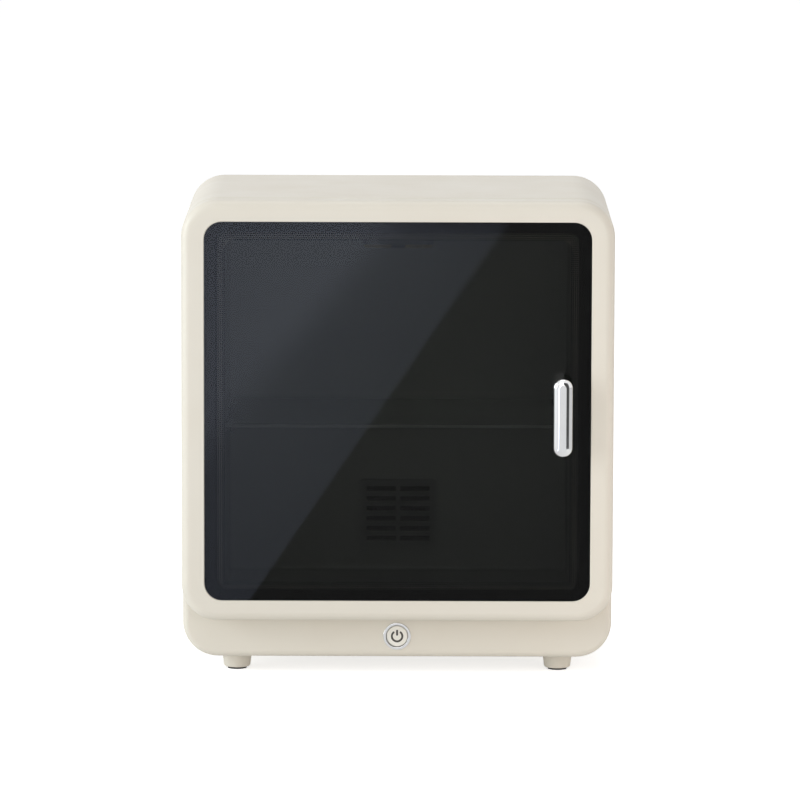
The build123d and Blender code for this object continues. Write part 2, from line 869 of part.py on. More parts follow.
# Lamp cover: a clear trough that hangs through the ceiling, held by its flange
lamp_bottom = cavity_top - lamp_drop
flange_top = liner_roof + lamp_wall
with BuildPart() as uv_lamp_cover:
    with BuildSketch(Plane.XY.offset(lamp_bottom)):
        with Locations((0, lamp_middle)):
            RectangleRounded(lamp_width, lamp_depth, lamp_corner_radius)
    extrude(amount=flange_top - lamp_bottom)
    fillet(uv_lamp_cover.edges().group_by(Axis.Z)[0], lamp_edge_radius)
    with BuildSketch(Plane.XY.offset(liner_roof)):
        with Locations((0, lamp_middle)):
            RectangleRounded(
                lamp_width + 2 * lamp_flange, lamp_depth + 2 * lamp_flange, lamp_corner_radius
            )
    extrude(amount=lamp_wall)
    with BuildSketch(Plane.XY.offset(lamp_bottom + lamp_wall)):
        with Locations((0, lamp_middle)):
            RectangleRounded(
                lamp_width - 2 * lamp_wall, lamp_depth - 2 * lamp_wall, lamp_corner_radius - lamp_wall
            )
    extrude(amount=flange_top - lamp_bottom, mode=Mode.SUBTRACT)
finish(uv_lamp_cover.part, "uv_lamp_cover")

# Lamp base: a cast cap over the ceiling opening that clamps the cover's flange
lamp_base_top = liner_roof + lamp_base_height
lamp_chamber_top = lamp_base_top - lamp_base_wall
with BuildPart() as uv_lamp_base:
    with BuildSketch(Plane.XY.offset(liner_roof)):
        with Locations((0, lamp_middle)):
            Rectangle(lamp_base_width, lamp_base_depth)
    extrude(amount=lamp_base_height)
    with BuildSketch(Plane.XY.offset(liner_roof)):
        with Locations((0, lamp_middle)):
            Rectangle(lamp_base_width + 2 * lamp_ear_length, lamp_ear_width)
    extrude(amount=lamp_ear_thickness)
    with BuildSketch(Plane.XY.offset(liner_roof)):
        with Locations((0, lamp_middle)):
            RectangleRounded(
                lamp_width + 2 * (lamp_flange + close_gap),
                lamp_depth + 2 * (lamp_flange + close_gap),
                lamp_corner_radius,
            )
    extrude(amount=lamp_wall, mode=Mode.SUBTRACT)
    with BuildSketch(Plane.XY.offset(liner_roof)):
        with Locations((0, lamp_middle)):
            Rectangle(
                lamp_width + 2 * (lamp_flange - lamp_clamp_width),
                lamp_depth + 2 * (lamp_flange - lamp_clamp_width),
            )
    extrude(amount=lamp_base_height - lamp_base_wall, mode=Mode.SUBTRACT)
    with looking(UP_ANGLES, [(x, y, z + lamp_ear_thickness) for x, y, z in lamp_stud_places]):
        Hole(lamp_stud_radius + screw_gap, depth=lamp_ear_thickness)
finish(uv_lamp_base.part, "uv_lamp_base")

lamp_nuts = hex_nuts(
    [(x, y, z + lamp_ear_thickness) for x, y, z in lamp_stud_places],
    UP_ANGLES,
    lamp_nut_across_flats,
    lamp_nut_height,
    lamp_stud_radius + screw_gap,
)
finish(lamp_nuts, "lamp_nuts")

# LED board under the base's roof, with its UV emitters looking down
led_board_width = lamp_width + 2 * (lamp_flange - lamp_clamp_width - led_board_margin)
led_board_depth = lamp_depth + 2 * (lamp_flange - lamp_clamp_width - led_board_margin)
led_board_bottom = lamp_chamber_top - led_board_thickness
with BuildPart() as uv_led_board:
    with BuildSketch(Plane.XY.offset(led_board_bottom)):
        with Locations((0, lamp_middle)):
            Rectangle(led_board_width, led_board_depth)
    extrude(amount=led_board_thickness)
finish(uv_led_board.part, "uv_led_board")

with BuildPart() as uv_leds:
    with BuildSketch(Plane.XY.offset(led_board_bottom)):
        with Locations((0, lamp_middle)):
            with GridLocations(led_spacing, 0, led_count, 1):
                Rectangle(led_size, led_size)
    extrude(amount=-led_height)
finish(uv_leds.part, "uv_leds")

# Shelf: one sheet of clear toughened glass that lies on four pegs
shelf_front = wall_inside + shelf_front_gap
shelf_depth = cavity_depth - shelf_front_gap - shelf_back_gap
with BuildPart() as glass_shelf:
    with BuildSketch(Plane.XY.offset(shelf_top - shelf_thickness)):
        with Locations((0, shelf_front + shelf_depth / 2)):
            RectangleRounded(cavity_width - 2 * shelf_side_gap, shelf_depth, shelf_corner_radius)
    extrude(amount=shelf_thickness)
    fillet(glass_shelf.edges().group_by(Axis.Z)[-1], shelf_edge_radius)
finish(glass_shelf.part, "glass_shelf")

# Shelf pegs: flat-topped steel studs riveted through the liner's sides
with BuildPart() as shelf_pegs:
    for x, y, z in peg_places:
        side = 1 if x > 0 else -1
        with Locations(Location((x, y, z), (0, -90 * side, 0))):
            Cylinder(peg_radius, peg_length, align=OUTWARD)
            Cylinder(peg_neck_radius, liner_sheet, align=INWARD)
        with Locations(Location((x + side * liner_sheet, y, z), (0, 90 * side, 0))):
            Cylinder(peg_radius, peg_rivet_height, align=OUTWARD)
        with Locations((x - side * peg_length / 2, y, z + peg_radius - peg_flat)):
            Box(
                peg_length,
                2 * peg_radius,
                peg_radius,
                align=OUTWARD,
                mode=Mode.SUBTRACT,
            )
finish(shelf_pegs.part, "shelf_pegs")

# Feet: tapered mouldings screwed up into the housing, with rubber pads let into them
foot_bottom = foot_pad_proud
foot_taper_height = foot_height - foot_bottom
pad_seat = foot_pad_thickness
screw_seat = foot_height - foot_screw_web
with BuildPart() as feet:
    with looking(DOWN_ANGLES, foot_places):
        Cone(foot_top_radius, foot_bottom_radius, foot_taper_height, align=OUTWARD)
    fillet(feet.edges().group_by(Axis.Z)[0], foot_edge_radius)
    with looking(DOWN_ANGLES, [(x, y, foot_bottom) for x, y, z in foot_places]):
        CounterBoreHole(
            foot_screw_radius + screw_gap,
            foot_pad_radius + close_gap,
            pad_seat - foot_bottom,
            depth=foot_taper_height,
        )
        CounterBoreHole(
            foot_screw_radius + screw_gap,
            foot_screw_head_radius + loose_gap,
            screw_seat - foot_bottom,
            depth=foot_taper_height,
        )
finish(feet.part, "feet")

with BuildPart() as foot_pads:
    with looking(UP_ANGLES, [(x, y, 0) for x, y, z in foot_places]):
        Cylinder(foot_pad_radius, foot_pad_thickness, align=OUTWARD)
finish(foot_pads.part, "foot_pads")

foot_screws = pan_screws(
    [(x, y, screw_seat) for x, y, z in foot_places],
    DOWN_ANGLES,
    foot_screw_head_radius,
    foot_screw_head_height,
    foot_screw_radius,
    foot_screw_web + foot_screw_bite,
)
finish(foot_screws, "foot_screws")


def hinge_edge_relief(radius):
    """What lies outside the round rear left edge, of the given radius about the hinge pin."""
    with BuildPart() as relief:
        with BuildSketch(Plane.XY.offset(door_bottom - cut_overrun)):
            with Locations((hinge_x, hinge_y)):
                Rectangle(
                    hinge_inset + cut_overrun,
                    hinge_depth + cut_overrun,
                    align=(Align.MAX, Align.MIN),
                )
                Circle(radius, mode=Mode.SUBTRACT)
        extrude(amount=door_height + 2 * cut_overrun)
    return relief.part


def hinge_notches():
    """The room in the door's left edge in which the hinge knuckles turn."""
    with BuildPart() as notches:
        with Locations(*[(hinge_x, hinge_y - notch_reach, z) for z in hinge_heights]):
            Box(
                hinge_inset + cut_overrun,
                notch_reach + hinge_depth + cut_overrun,
                knuckle_height + 2 * knuckle_side_gap,
                align=(Align.MAX, Align.MIN, Align.CENTER),
            )
            Box(
                knuckle_radius + knuckle_side_gap,
                notch_reach + hinge_depth + cut_overrun,
                knuckle_height + 2 * knuckle_side_gap,
                align=(Align.MIN, Align.MIN, Align.CENTER),
            )
    return notches.part


def hinge_blocks():
    """The solid stretches of the door's left stile that hold the pins."""
    with BuildPart() as blocks:
        with Locations(*[(-half_width, hinge_y, z) for z in hinge_heights]):
            Box(
                2 * hinge_block_width,
                2 * door_thickness,
                hinge_pin_length + 2 * hinge_block_margin,
            )
    return blocks.part


# Door frame: the front half of the door, a hollow moulding with a ledge for the glass
frame_depth = hinge_y - door_front
frame_screw_x = half_width - frame_screw_inset
frame_screw_places = [
    (side * frame_screw_x, door_bottom + share * door_height)
    for side in (-1, 1)
    for share in frame_side_screw_shares
] + [
    (side * frame_rail_screw_share * cabinet_width, z)
    for side in (-1, 1)
    for z in (door_bottom + frame_screw_inset, cabinet_height - frame_screw_inset)
]
with BuildPart() as door_frame_hollow:
    with BuildSketch(upright(hinge_y)):
        with Locations((0, door_middle)):
            RectangleRounded(
                cabinet_width - 2 * door_wall, door_height - 2 * door_wall, corner_radius - door_wall
            )
    extrude(amount=frame_depth - door_wall)
    fillet(door_frame_hollow.edges().group_by(Axis.Y)[0], door_edge_radius - door_wall)
    with BuildSketch(upright(ledge_front + ledge_thickness)):
        with Locations((0, pocket_middle)):
            RectangleRounded(
                pocket_width + 2 * door_wall, pocket_height + 2 * door_wall, glass_radius + door_wall
            )
    extrude(amount=frame_depth, mode=Mode.SUBTRACT)
    with BuildSketch(upright(hinge_y)):
        with Locations((0, pocket_middle)):
            RectangleRounded(
                sight_width + 2 * door_wall, sight_height + 2 * door_wall, sight_radius + door_wall
            )
    extrude(amount=frame_depth, mode=Mode.SUBTRACT)
    with looking(FRONT_ANGLES, [(x, hinge_y, z) for x, z in frame_screw_places]):
        Cylinder(frame_boss_radius, frame_depth, align=OUTWARD, mode=Mode.SUBTRACT)
    add(hinge_blocks(), mode=Mode.SUBTRACT)

with BuildPart() as door_frame:
    with BuildSketch(upright(hinge_y)):
        with Locations((0, door_middle)):
            RectangleRounded(cabinet_width, door_height, corner_radius)
    extrude(amount=frame_depth)
    fillet(door_frame.edges().group_by(Axis.Y)[0], door_edge_radius)
    with BuildSketch(upright(ledge_front)):
        with Locations((0, pocket_middle)):
            RectangleRounded(pocket_width, pocket_height, glass_radius)
    extrude(amount=frame_depth, mode=Mode.SUBTRACT)
    lip_edges = door_frame.faces().filter_by(Plane.XZ).sort_by(Axis.Y)[0].inner_wires()[0].edges()
    fillet(lip_edges, glass_lip_radius)
    with BuildSketch(upright(hinge_y)):
        with Locations((0, pocket_middle)):
            RectangleRounded(sight_width, sight_height, sight_radius)
    extrude(amount=frame_depth, mode=Mode.SUBTRACT)
    add(door_frame_hollow.part, mode=Mode.SUBTRACT)
    add(hinge_notches(), mode=Mode.SUBTRACT)
    with Locations(*[(hinge_x, hinge_y, z) for z in hinge_heights]):
        Cylinder(
            hinge_pin_radius + running_gap,
            hinge_pin_length + 2 * running_gap,
            mode=Mode.SUBTRACT,
        )
    with looking(REAR_ANGLES, [(x, hinge_y, z) for x, z in frame_screw_places]):
        Hole(frame_screw_radius + screw_gap, depth=frame_screw_length - hinge_depth + screw_gap)
finish(door_frame.part, "door_frame")

# Door back frame: the rear half of the door, rounded about the hinge pins, with the gasket's groove
gasket_width_overall = cabinet_width - 2 * gasket_side_inset
gasket_height_overall = door_height - gasket_top_inset - gasket_bottom_inset
gasket_middle = door_bottom + gasket_bottom_inset + gasket_height_overall / 2


def gasket_ring(half_band):
    """The gasket's path as a flat band, half_band wide on each side of its middle line."""
    with Locations((0, gasket_middle)):
        RectangleRounded(
            gasket_width_overall + 2 * half_band,
            gasket_height_overall + 2 * half_band,
            gasket_radius + half_band,
        )
        RectangleRounded(
            gasket_width_overall - 2 * half_band,
            gasket_height_overall - 2 * half_band,
            gasket_radius - half_band,
            mode=Mode.SUBTRACT,
        )


with BuildPart() as back_frame_hollow:
    with BuildSketch(upright(hinge_y)):
        with Locations((0, door_middle)):
            RectangleRounded(
                cabinet_width - 2 * door_wall, door_height - 2 * door_wall, corner_radius - door_wall
            )
        with Locations((0, pocket_middle)):
            RectangleRounded(
                sight_width + 2 * door_wall,
                sight_height + 2 * door_wall,
                sight_radius + door_wall,
                mode=Mode.SUBTRACT,
            )
    extrude(amount=-(hinge_depth - door_back_wall))
    add(hinge_edge_relief(hinge_depth - door_wall), mode=Mode.SUBTRACT)
    with looking(REAR_ANGLES, [(x, hinge_y, z) for x, z in frame_screw_places]):
        Cylinder(frame_boss_radius, hinge_depth, align=OUTWARD, mode=Mode.SUBTRACT)
    add(hinge_blocks(), mode=Mode.SUBTRACT)

with BuildPart() as door_back_frame:
    with BuildSketch(upright(hinge_y)):
        with Locations((0, door_middle)):
            RectangleRounded(cabinet_width, door_height, corner_radius)
    extrude(amount=-hinge_depth)
    fillet(door_back_frame.edges().group_by(Axis.Y)[-1], door_back_edge_radius)
    with BuildSketch(upright(hinge_y)):
        with Locations((0, pocket_middle)):
            RectangleRounded(sight_width, sight_height, sight_radius)
    extrude(amount=-(hinge_depth + cut_overrun), mode=Mode.SUBTRACT)
    add(hinge_edge_relief(hinge_depth), mode=Mode.SUBTRACT)
    add(back_frame_hollow.part, mode=Mode.SUBTRACT)
    add(hinge_notches(), mode=Mode.SUBTRACT)
    with BuildSketch(upright(door_back - gasket_depth)):
        gasket_ring(gasket_width / 2 + close_gap)
    extrude(amount=-(gasket_depth + cut_overrun), mode=Mode.SUBTRACT)
    with Locations(*[(hinge_x, hinge_y, z) for z in hinge_heights]):
        Cylinder(
            hinge_pin_radius + running_gap,
            hinge_pin_length + 2 * running_gap,
            mode=Mode.SUBTRACT,
        )
    with looking(REAR_ANGLES, [(x, door_back, z) for x, z in frame_screw_places]):
        CounterSinkHole(
            frame_screw_radius + screw_gap,
            frame_screw_head_radius + screw_gap,
            depth=hinge_depth,
            counter_sink_angle=90,
        )
finish(door_back_frame.part, "door_back_frame")

door_frame_screws = sunk_screws(
    [(x, door_back, z) for x, z in frame_screw_places],
    REAR_ANGLES,
    frame_screw_head_radius,
    frame_screw_radius,
    frame_screw_length,
)
finish(door_frame_screws, "door_frame_screws")

with BuildPart() as door_gasket:
    with BuildSketch(upright(door_back - gasket_depth)):
        gasket_ring(gasket_width / 2)
    extrude(amount=-(gasket_depth + gasket_proud))
    fillet(door_gasket.edges().group_by(Axis.Y)[-1], gasket_proud / 2)
finish(door_gasket.part, "door_gasket")

# Door glass: a tinted pane in the frame's rebate, on a bed of tape
handle_screw_heights = (
    handle_z - handle_screw_spacing / 2,
    handle_z + handle_screw_spacing / 2,
)
glass_back = glass_front + glass_thickness
with BuildPart() as door_glass:
    with BuildSketch(upright(glass_front)):
        with Locations((0, pocket_middle)):
            RectangleRounded(
                pocket_width - 2 * close_gap, pocket_height - 2 * close_gap, glass_radius - close_gap
            )
        with Locations(*[(handle_x, z) for z in handle_screw_heights]):
            Circle(glass_hole_radius, mode=Mode.SUBTRACT)
    extrude(amount=-glass_thickness)
finish(door_glass.part, "door_glass")

with BuildPart() as glass_tape:
    with BuildSketch(upright(glass_back)):
        with Locations((0, pocket_middle)):
            RectangleRounded(
                pocket_width - 2 * close_gap, pocket_height - 2 * close_gap, glass_radius - close_gap
            )
            RectangleRounded(
                sight_width + 2 * close_gap,
                sight_height + 2 * close_gap,
                sight_radius + close_gap,
                mode=Mode.SUBTRACT,
            )
    extrude(amount=-tape_thickness)
finish(glass_tape.part, "glass_tape")

# Handle: a plated pill with rounded front edges, screwed on through the glass
with BuildPart() as handle:
    with BuildSketch(upright(glass_front)):
        with Locations((handle_x, handle_z)):
            SlotOverall(handle_length, handle_width, rotation=90)
    extrude(amount=handle_reach)
    fillet(handle.edges().group_by(Axis.Y)[0], handle_edge_radius)
    with looking(REAR_ANGLES, [(handle_x, glass_front, z) for z in handle_screw_heights]):
        Hole(handle_screw_radius + screw_gap, depth=handle_thread_depth)
finish(handle.part, "handle")

with BuildPart() as handle_washers:
    with BuildSketch(upright(glass_back)):
        with Locations(*[(handle_x, z) for z in handle_screw_heights]):
            Circle(washer_radius)
            Circle(handle_screw_radius + screw_gap, mode=Mode.SUBTRACT)
    extrude(amount=-washer_thickness)
    with BuildSketch(upright(glass_back)):
        with Locations(*[(handle_x, z) for z in handle_screw_heights]):
            Circle(glass_hole_radius - close_gap)
            Circle(handle_screw_radius + screw_gap, mode=Mode.SUBTRACT)
    extrude(amount=glass_thickness - close_gap)
finish(handle_washers.part, "handle_washers")

handle_screws = pan_screws(
    [(handle_x, glass_back + washer_thickness, z) for z in handle_screw_heights],
    REAR_ANGLES,
    handle_screw_head_radius,
    handle_screw_head_height,
    handle_screw_radius,
    washer_thickness + glass_thickness + handle_screw_bite,
)
finish(handle_screws, "handle_screws")

# Hinge pins, held between the two halves of the door
with BuildPart() as hinge_pins:
    with Locations(*[(hinge_x, hinge_y, z) for z in hinge_heights]):
        Cylinder(hinge_pin_radius, hinge_pin_length)
finish(hinge_pins.part, "hinge_pins")

# Hinge brackets: a plate behind the front wall and an arm through it to the pin
for bracket_name, bracket_z in zip(("hinge_bracket_lower", "hinge_bracket_upper"), hinge_heights):
    with BuildPart() as hinge_bracket:
        with BuildSketch(upright(wall_inside)):
            with Locations((hinge_x, bracket_z)):
                Rectangle(2 * (hinge_inset - housing_wall - loose_gap), hinge_plate_height)
        extrude(amount=-hinge_plate_thickness)
        with BuildSketch(Plane.XY.offset(bracket_z)):
            with Locations((hinge_x, hinge_y)):
                Circle(knuckle_radius)
                Rectangle(
                    2 * knuckle_radius,
                    wall_inside + hinge_plate_thickness - hinge_y,
                    align=(Align.CENTER, Align.MIN),
                )
                Circle(hinge_pin_radius + running_gap, mode=Mode.SUBTRACT)
        extrude(amount=knuckle_height / 2, both=True)
        screw_heights = [bracket_z + side * hinge_screw_spacing / 2 for side in (-1, 1)]
        with looking(FRONT_ANGLES, [(hinge_x, wall_inside, z) for z in screw_heights]):
            Hole(hinge_screw_radius + screw_gap, depth=hinge_plate_thickness)
    finish(hinge_bracket.part, bracket_name)

hinge_screws = sunk_screws(
    hinge_screw_places,
    FRONT_ANGLES,
    hinge_screw_head_radius,
    hinge_screw_radius,
    front_wall + hinge_plate_thickness,
)
finish(hinge_screws, "hinge_screws")

# Magnetic catch: magnets inside the door, steel strikes behind the front wall, and a reed sensor
magnet_x = half_width - magnet_inset
magnet_heights = [door_bottom + share * door_height for share in magnet_shares]
with BuildPart() as door_magnets:
    with BuildSketch(upright(door_back - door_back_wall)):
        with Locations(*[(magnet_x, z) for z in magnet_heights]):
            Rectangle(magnet_width, magnet_length)
    extrude(amount=magnet_thickness)
finish(door_magnets.part, "door_magnets")

with BuildPart() as strike_plates:
    with BuildSketch(upright(wall_inside)):
        with Locations(*[(magnet_x, z) for z in magnet_heights]):
            Rectangle(strike_width, strike_length)
    extrude(amount=-strike_thickness)
finish(strike_plates.part, "strike_plates")

sensor_x = magnet_x - strike_width / 2 - loose_gap - sensor_width / 2
with BuildPart() as door_sensor:
    with BuildSketch(upright(wall_inside)):
        with Locations((sensor_x, magnet_heights[-1])):
            Rectangle(sensor_width, sensor_length)
    extrude(amount=-sensor_thickness)
finish(door_sensor.part, "door_sensor")

# Button ring: a plated bezel pushed into the plinth
button_place = (0, button_z)
with BuildPart() as button_ring:
    with BuildSketch(upright(housing_front)):
        with Locations(button_place):
            Circle(ring_outer_radius)
            Circle(ring_inner_radius, mode=Mode.SUBTRACT)
    extrude(amount=ring_proud)
    fillet(button_ring.edges().group_by(Axis.Y)[0], ring_edge_radius)
    with BuildSketch(upright(housing_front)):
        with Locations(button_place):
            Circle(ring_sleeve_radius)
            Circle(ring_inner_radius, mode=Mode.SUBTRACT)
    extrude(amount=-(front_wall + ring_sleeve_tail))
finish(button_ring.part, "button_ring")

# Power button: a cap with a flange that stays behind the ring and a stem to the switch
button_front = housing_front - button_proud
flange_front = wall_inside + ring_sleeve_tail + loose_gap
flange_back = flange_front + button_flange_thickness
stem_end = flange_back + button_stem_length
with BuildPart() as power_button:
    with BuildSketch(upright(button_front)):
        with Locations(button_place):
            Circle(button_radius)
    extrude(amount=button_front - flange_back)
    fillet(power_button.edges().group_by(Axis.Y)[0], button_edge_radius)
    with BuildSketch(upright(flange_front)):
        with Locations(button_place):
            Circle(button_flange_radius)
    extrude(amount=-button_flange_thickness)
    with BuildSketch(upright(flange_back)):
        with Locations(button_place):
            Circle(button_stem_radius)
    extrude(amount=-button_stem_length)
finish(power_button.part, "power_button")

# Tact switch on the front of the board, and its plunger, which the stem pushes
switch_front = stem_end + plunger_proud
with BuildPart() as tact_switch:
    with BuildSketch(upright(board_front)):
        with Locations(button_place):
            Rectangle(switch_size, switch_size)
    extrude(amount=board_front - switch_front)
    with looking(FRONT_ANGLES, [(0, switch_front, button_z)]):
        Hole(plunger_radius + close_gap, depth=plunger_bore_depth)
finish(tact_switch.part, "tact_switch")

with BuildPart() as switch_plunger:
    with BuildSketch(upright(stem_end)):
        with Locations(button_place):
            Circle(plunger_radius)
    extrude(amount=-(plunger_proud + plunger_sunk))
finish(switch_plunger.part, "switch_plunger")

# Control board on the housing's bosses, with its larger components and lead headers behind it
with BuildPart() as control_board:
    with BuildSketch(upright(board_front)):
        with Locations((0, board_middle)):
            Rectangle(board_width, board_height)
    extrude(amount=-board_thickness)
    with looking(REAR_ANGLES, [(x, board_back, z) for x, y, z in board_hole_places]):
        Hole(board_screw_radius + screw_gap, depth=board_thickness)
finish(control_board.part, "control_board")

board_screws = pan_screws(
    [(x, board_back, z) for x, y, z in board_hole_places],
    REAR_ANGLES,
    board_screw_head_radius,
    board_screw_head_height,
    board_screw_radius,
    board_thickness + board_screw_bite,
)
finish(board_screws, "board_screws")

board_blocks = {
    "power_transformer": (
        transformer_center_share * board_width,
        transformer_width,
        transformer_height,
        transformer_depth,
    ),
    "heater_relay": (relay_center_share * board_width, relay_width, relay_height, relay_depth),
}
for block_name, (block_x, block_width, block_height, block_depth) in board_blocks.items():
    with BuildPart() as board_block:
        with BuildSketch(upright(board_back)):
            with Locations((block_x, board_middle)):
                Rectangle(block_width, block_height)
        extrude(amount=-block_depth)
    finish(board_block.part, block_name)

with BuildPart() as filter_capacitor:
    with BuildSketch(upright(board_back)):
        with Locations((capacitor_center_share * board_width, board_middle)):
            Circle(capacitor_radius)
    extrude(amount=-capacitor_depth)
finish(filter_capacitor.part, "filter_capacitor")

header_z = board_bottom + header_row_rise
mains_header_x = mains_header_share * board_width
heater_header_x = heater_header_share * board_width
lamp_header_x = lamp_header_share * board_width
with BuildPart() as lead_headers:
    with BuildSketch(upright(board_back)):
        with Locations(*[(x, header_z) for x in (mains_header_x, heater_header_x, lamp_header_x)]):
            Rectangle(header_width, header_height)
    extrude(amount=-header_depth)
finish(lead_headers.part, "lead_headers")

# Power inlet: a moulded socket clamped behind the rear cover, open to the back, with three pins
inlet_place = (inlet_x, inlet_z)
inlet_front = rear_face - inlet_depth
socket_floor = rear_face - socket_depth
with BuildPart() as power_inlet:
    with BuildSketch(upright(inlet_front)):
        with Locations(inlet_place):
            RectangleRounded(inlet_width, inlet_height, inlet_radius)
    extrude(amount=-inlet_depth)
    with BuildSketch(upright(cover_inside)):
        with Locations(inlet_place):
            RectangleRounded(inlet_flange_width, inlet_flange_height, inlet_radius)
    extrude(amount=inlet_flange_thickness)
    with BuildSketch(upright(socket_floor)):
        with Locations(inlet_place):
            RectangleRounded(socket_width, socket_height, inlet_radius)
    extrude(amount=-(socket_depth + cut_overrun), mode=Mode.SUBTRACT)
    with looking(REAR_ANGLES, [(x, cover_inside, z) for x, y, z in inlet_screw_places]):
        Hole(inlet_screw_radius + screw_gap, depth=inlet_flange_thickness)
finish(power_inlet.part, "power_inlet")

with BuildPart() as inlet_pins:
    with BuildSketch(upright(socket_floor)):
        with Locations(
            (inlet_x - inlet_pin_spacing, inlet_z - inlet_pin_rise),
            (inlet_x, inlet_z + inlet_pin_rise),
            (inlet_x + inlet_pin_spacing, inlet_z - inlet_pin_rise),
        ):
            Rectangle(inlet_pin_width, inlet_pin_height)
    extrude(amount=-inlet_pin_length)
finish(inlet_pins.part, "inlet_pins")

inlet_screws = sunk_screws(
    inlet_screw_places,
    REAR_ANGLES,
    inlet_screw_head_radius,
    inlet_screw_radius,
    housing_wall + inlet_flange_thickness,
)
finish(inlet_screws, "inlet_screws")


def lead(points):
    """A round lead along straight runs and tangent arcs, square to what it meets at both ends."""
    with BuildPart() as tube:
        with BuildLine() as route:
            FilletPolyline(*points, radius=lead_bend_radius)
        path = route.wires()[0]
        with BuildSketch(Plane(origin=path @ 0, z_dir=path % 0)) as end:
            Circle(lead_radius)
        sweep(path=path)
    print("lead volume over section times length", tube.part.volume / (end.sketch.area * path.length))
    return tube.part


# Leads inside the cabinet: from the inlet, the heater and the lamp to the board's headers
under_liner_middle = wall_inside + cavity_depth / 2
duct_middle = liner_back + duct_length / 2
duct_bottom = vent_z - fan_size / 2
lamp_base_back = lamp_middle + lamp_base_depth / 2
lamp_lead_height = liner_roof + lamp_base_height / 2
lamp_lead_back = liner_back + lamp_lead_setback
lead_routes = {
    "mains_lead": [
        (mains_header_x, header_back, header_z),
        (mains_header_x, under_liner_middle, header_z),
        (inlet_x, (under_liner_middle + inlet_front) / 2, inlet_z),
        (inlet_x, inlet_front, inlet_z),
    ],
    "heater_lead": [
        (heater_header_x, header_back, header_z),
        (heater_header_x, duct_middle, header_z),
        (heater_header_x, duct_middle, duct_bottom),
    ],
    "lamp_lead": [
        (lamp_header_x, header_back, header_z),
        (lamp_header_x, under_liner_middle, header_z),
        (-lamp_lead_side, under_liner_middle + lamp_lead_side / 2, header_z),
        (-lamp_lead_side, lamp_lead_back, header_z),
        (-lamp_lead_side, lamp_lead_back, lamp_lead_height),
        (-lamp_lead_entry, (lamp_base_back + lamp_lead_back) / 2, lamp_lead_height),
        (-lamp_lead_entry, lamp_base_back, lamp_lead_height),
    ],
}
for lead_name, lead_points in lead_routes.items():
    finish(lead(lead_points), lead_name)
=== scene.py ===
from math import asin, cos, pi, radians, sin

import bmesh
import bpy
from mathutils import Matrix, Vector


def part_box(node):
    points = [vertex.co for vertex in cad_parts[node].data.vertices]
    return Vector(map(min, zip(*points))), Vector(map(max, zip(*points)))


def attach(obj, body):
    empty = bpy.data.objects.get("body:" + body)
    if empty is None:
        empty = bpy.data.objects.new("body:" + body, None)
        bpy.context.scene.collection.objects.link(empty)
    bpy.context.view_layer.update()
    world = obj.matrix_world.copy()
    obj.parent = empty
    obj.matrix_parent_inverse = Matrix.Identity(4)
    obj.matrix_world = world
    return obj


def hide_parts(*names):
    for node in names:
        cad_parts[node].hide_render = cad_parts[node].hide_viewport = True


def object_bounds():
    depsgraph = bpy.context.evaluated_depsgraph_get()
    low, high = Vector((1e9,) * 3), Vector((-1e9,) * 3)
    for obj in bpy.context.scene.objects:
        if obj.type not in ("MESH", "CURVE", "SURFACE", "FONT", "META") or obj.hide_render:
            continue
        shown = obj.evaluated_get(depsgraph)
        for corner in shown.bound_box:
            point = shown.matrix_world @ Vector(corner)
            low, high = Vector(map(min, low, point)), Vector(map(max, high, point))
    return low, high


# Warm-air and UV sterilizing cabinet for bottles, dressed on its CAD frame, in metres.
# +Z is up, the door looks along -Y, and the origin is on the table below the middle of the cabinet.
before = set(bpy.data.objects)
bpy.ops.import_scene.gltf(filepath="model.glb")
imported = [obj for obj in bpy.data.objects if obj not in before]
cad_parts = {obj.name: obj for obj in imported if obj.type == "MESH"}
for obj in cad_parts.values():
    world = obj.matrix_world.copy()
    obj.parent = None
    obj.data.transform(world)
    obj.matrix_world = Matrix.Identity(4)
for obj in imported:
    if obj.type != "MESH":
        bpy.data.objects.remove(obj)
cad_low, cad_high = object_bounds()
MM = 0.001


# Housing, rear cover, the two halves of the door and the feet: injection mouldings in ivory plastic.
# The tool is lightly eroded, which leaves a satin grain and a faint mottle and no other mark.
def srgb(red, green, blue):
    """A colour given as 8-bit display values, as the shader's linear colour."""
    shares = [value / 255 for value in (red, green, blue)]
    return tuple(s / 12.92 if s <= 0.04045 else ((s + 0.055) / 1.055) ** 2.4 for s in shares) + (1.0,)


def add_node(tree, kind, inputs=(), **settings):
    """A node with its settings, and a value or a link on each of the given inputs."""
    node = tree.nodes.new(kind)
    for name, value in settings.items():
        setattr(node, name, value)
    for name, value in dict(inputs).items():
        if isinstance(value, bpy.types.NodeSocket):
            tree.links.new(value, node.inputs[name])
        else:
            node.inputs[name].default_value = value
    return node


def new_group(kind, name, inputs, outputs):
    """A node group with the named sockets, and the sockets of its input and output nodes."""
    tree = bpy.data.node_groups.new(name, kind)
    for label, socket in inputs:
        tree.interface.new_socket(label, in_out="INPUT", socket_type=socket)
    for label, socket in outputs:
        tree.interface.new_socket(label, in_out="OUTPUT", socket_type=socket)
    return tree, tree.nodes.new("NodeGroupInput").outputs, tree.nodes.new("NodeGroupOutput").inputs


def mixed_colour(tree, factor, first, second):
    """A colour between two colours."""
    mix = add_node(tree, "ShaderNodeMix", {0: factor, 6: first, 7: second}, data_type="RGBA")
    return mix.outputs[2]


def mapped(tree, value, low, high):
    """A value from 0.3 to 0.7, where a noise mostly lies, spread from low to high."""
    spread = {"Value": value, "From Min": 0.3, "From Max": 0.7, "To Min": low, "To Max": high}
    return add_node(tree, "ShaderNodeMapRange", spread).outputs["Result"]


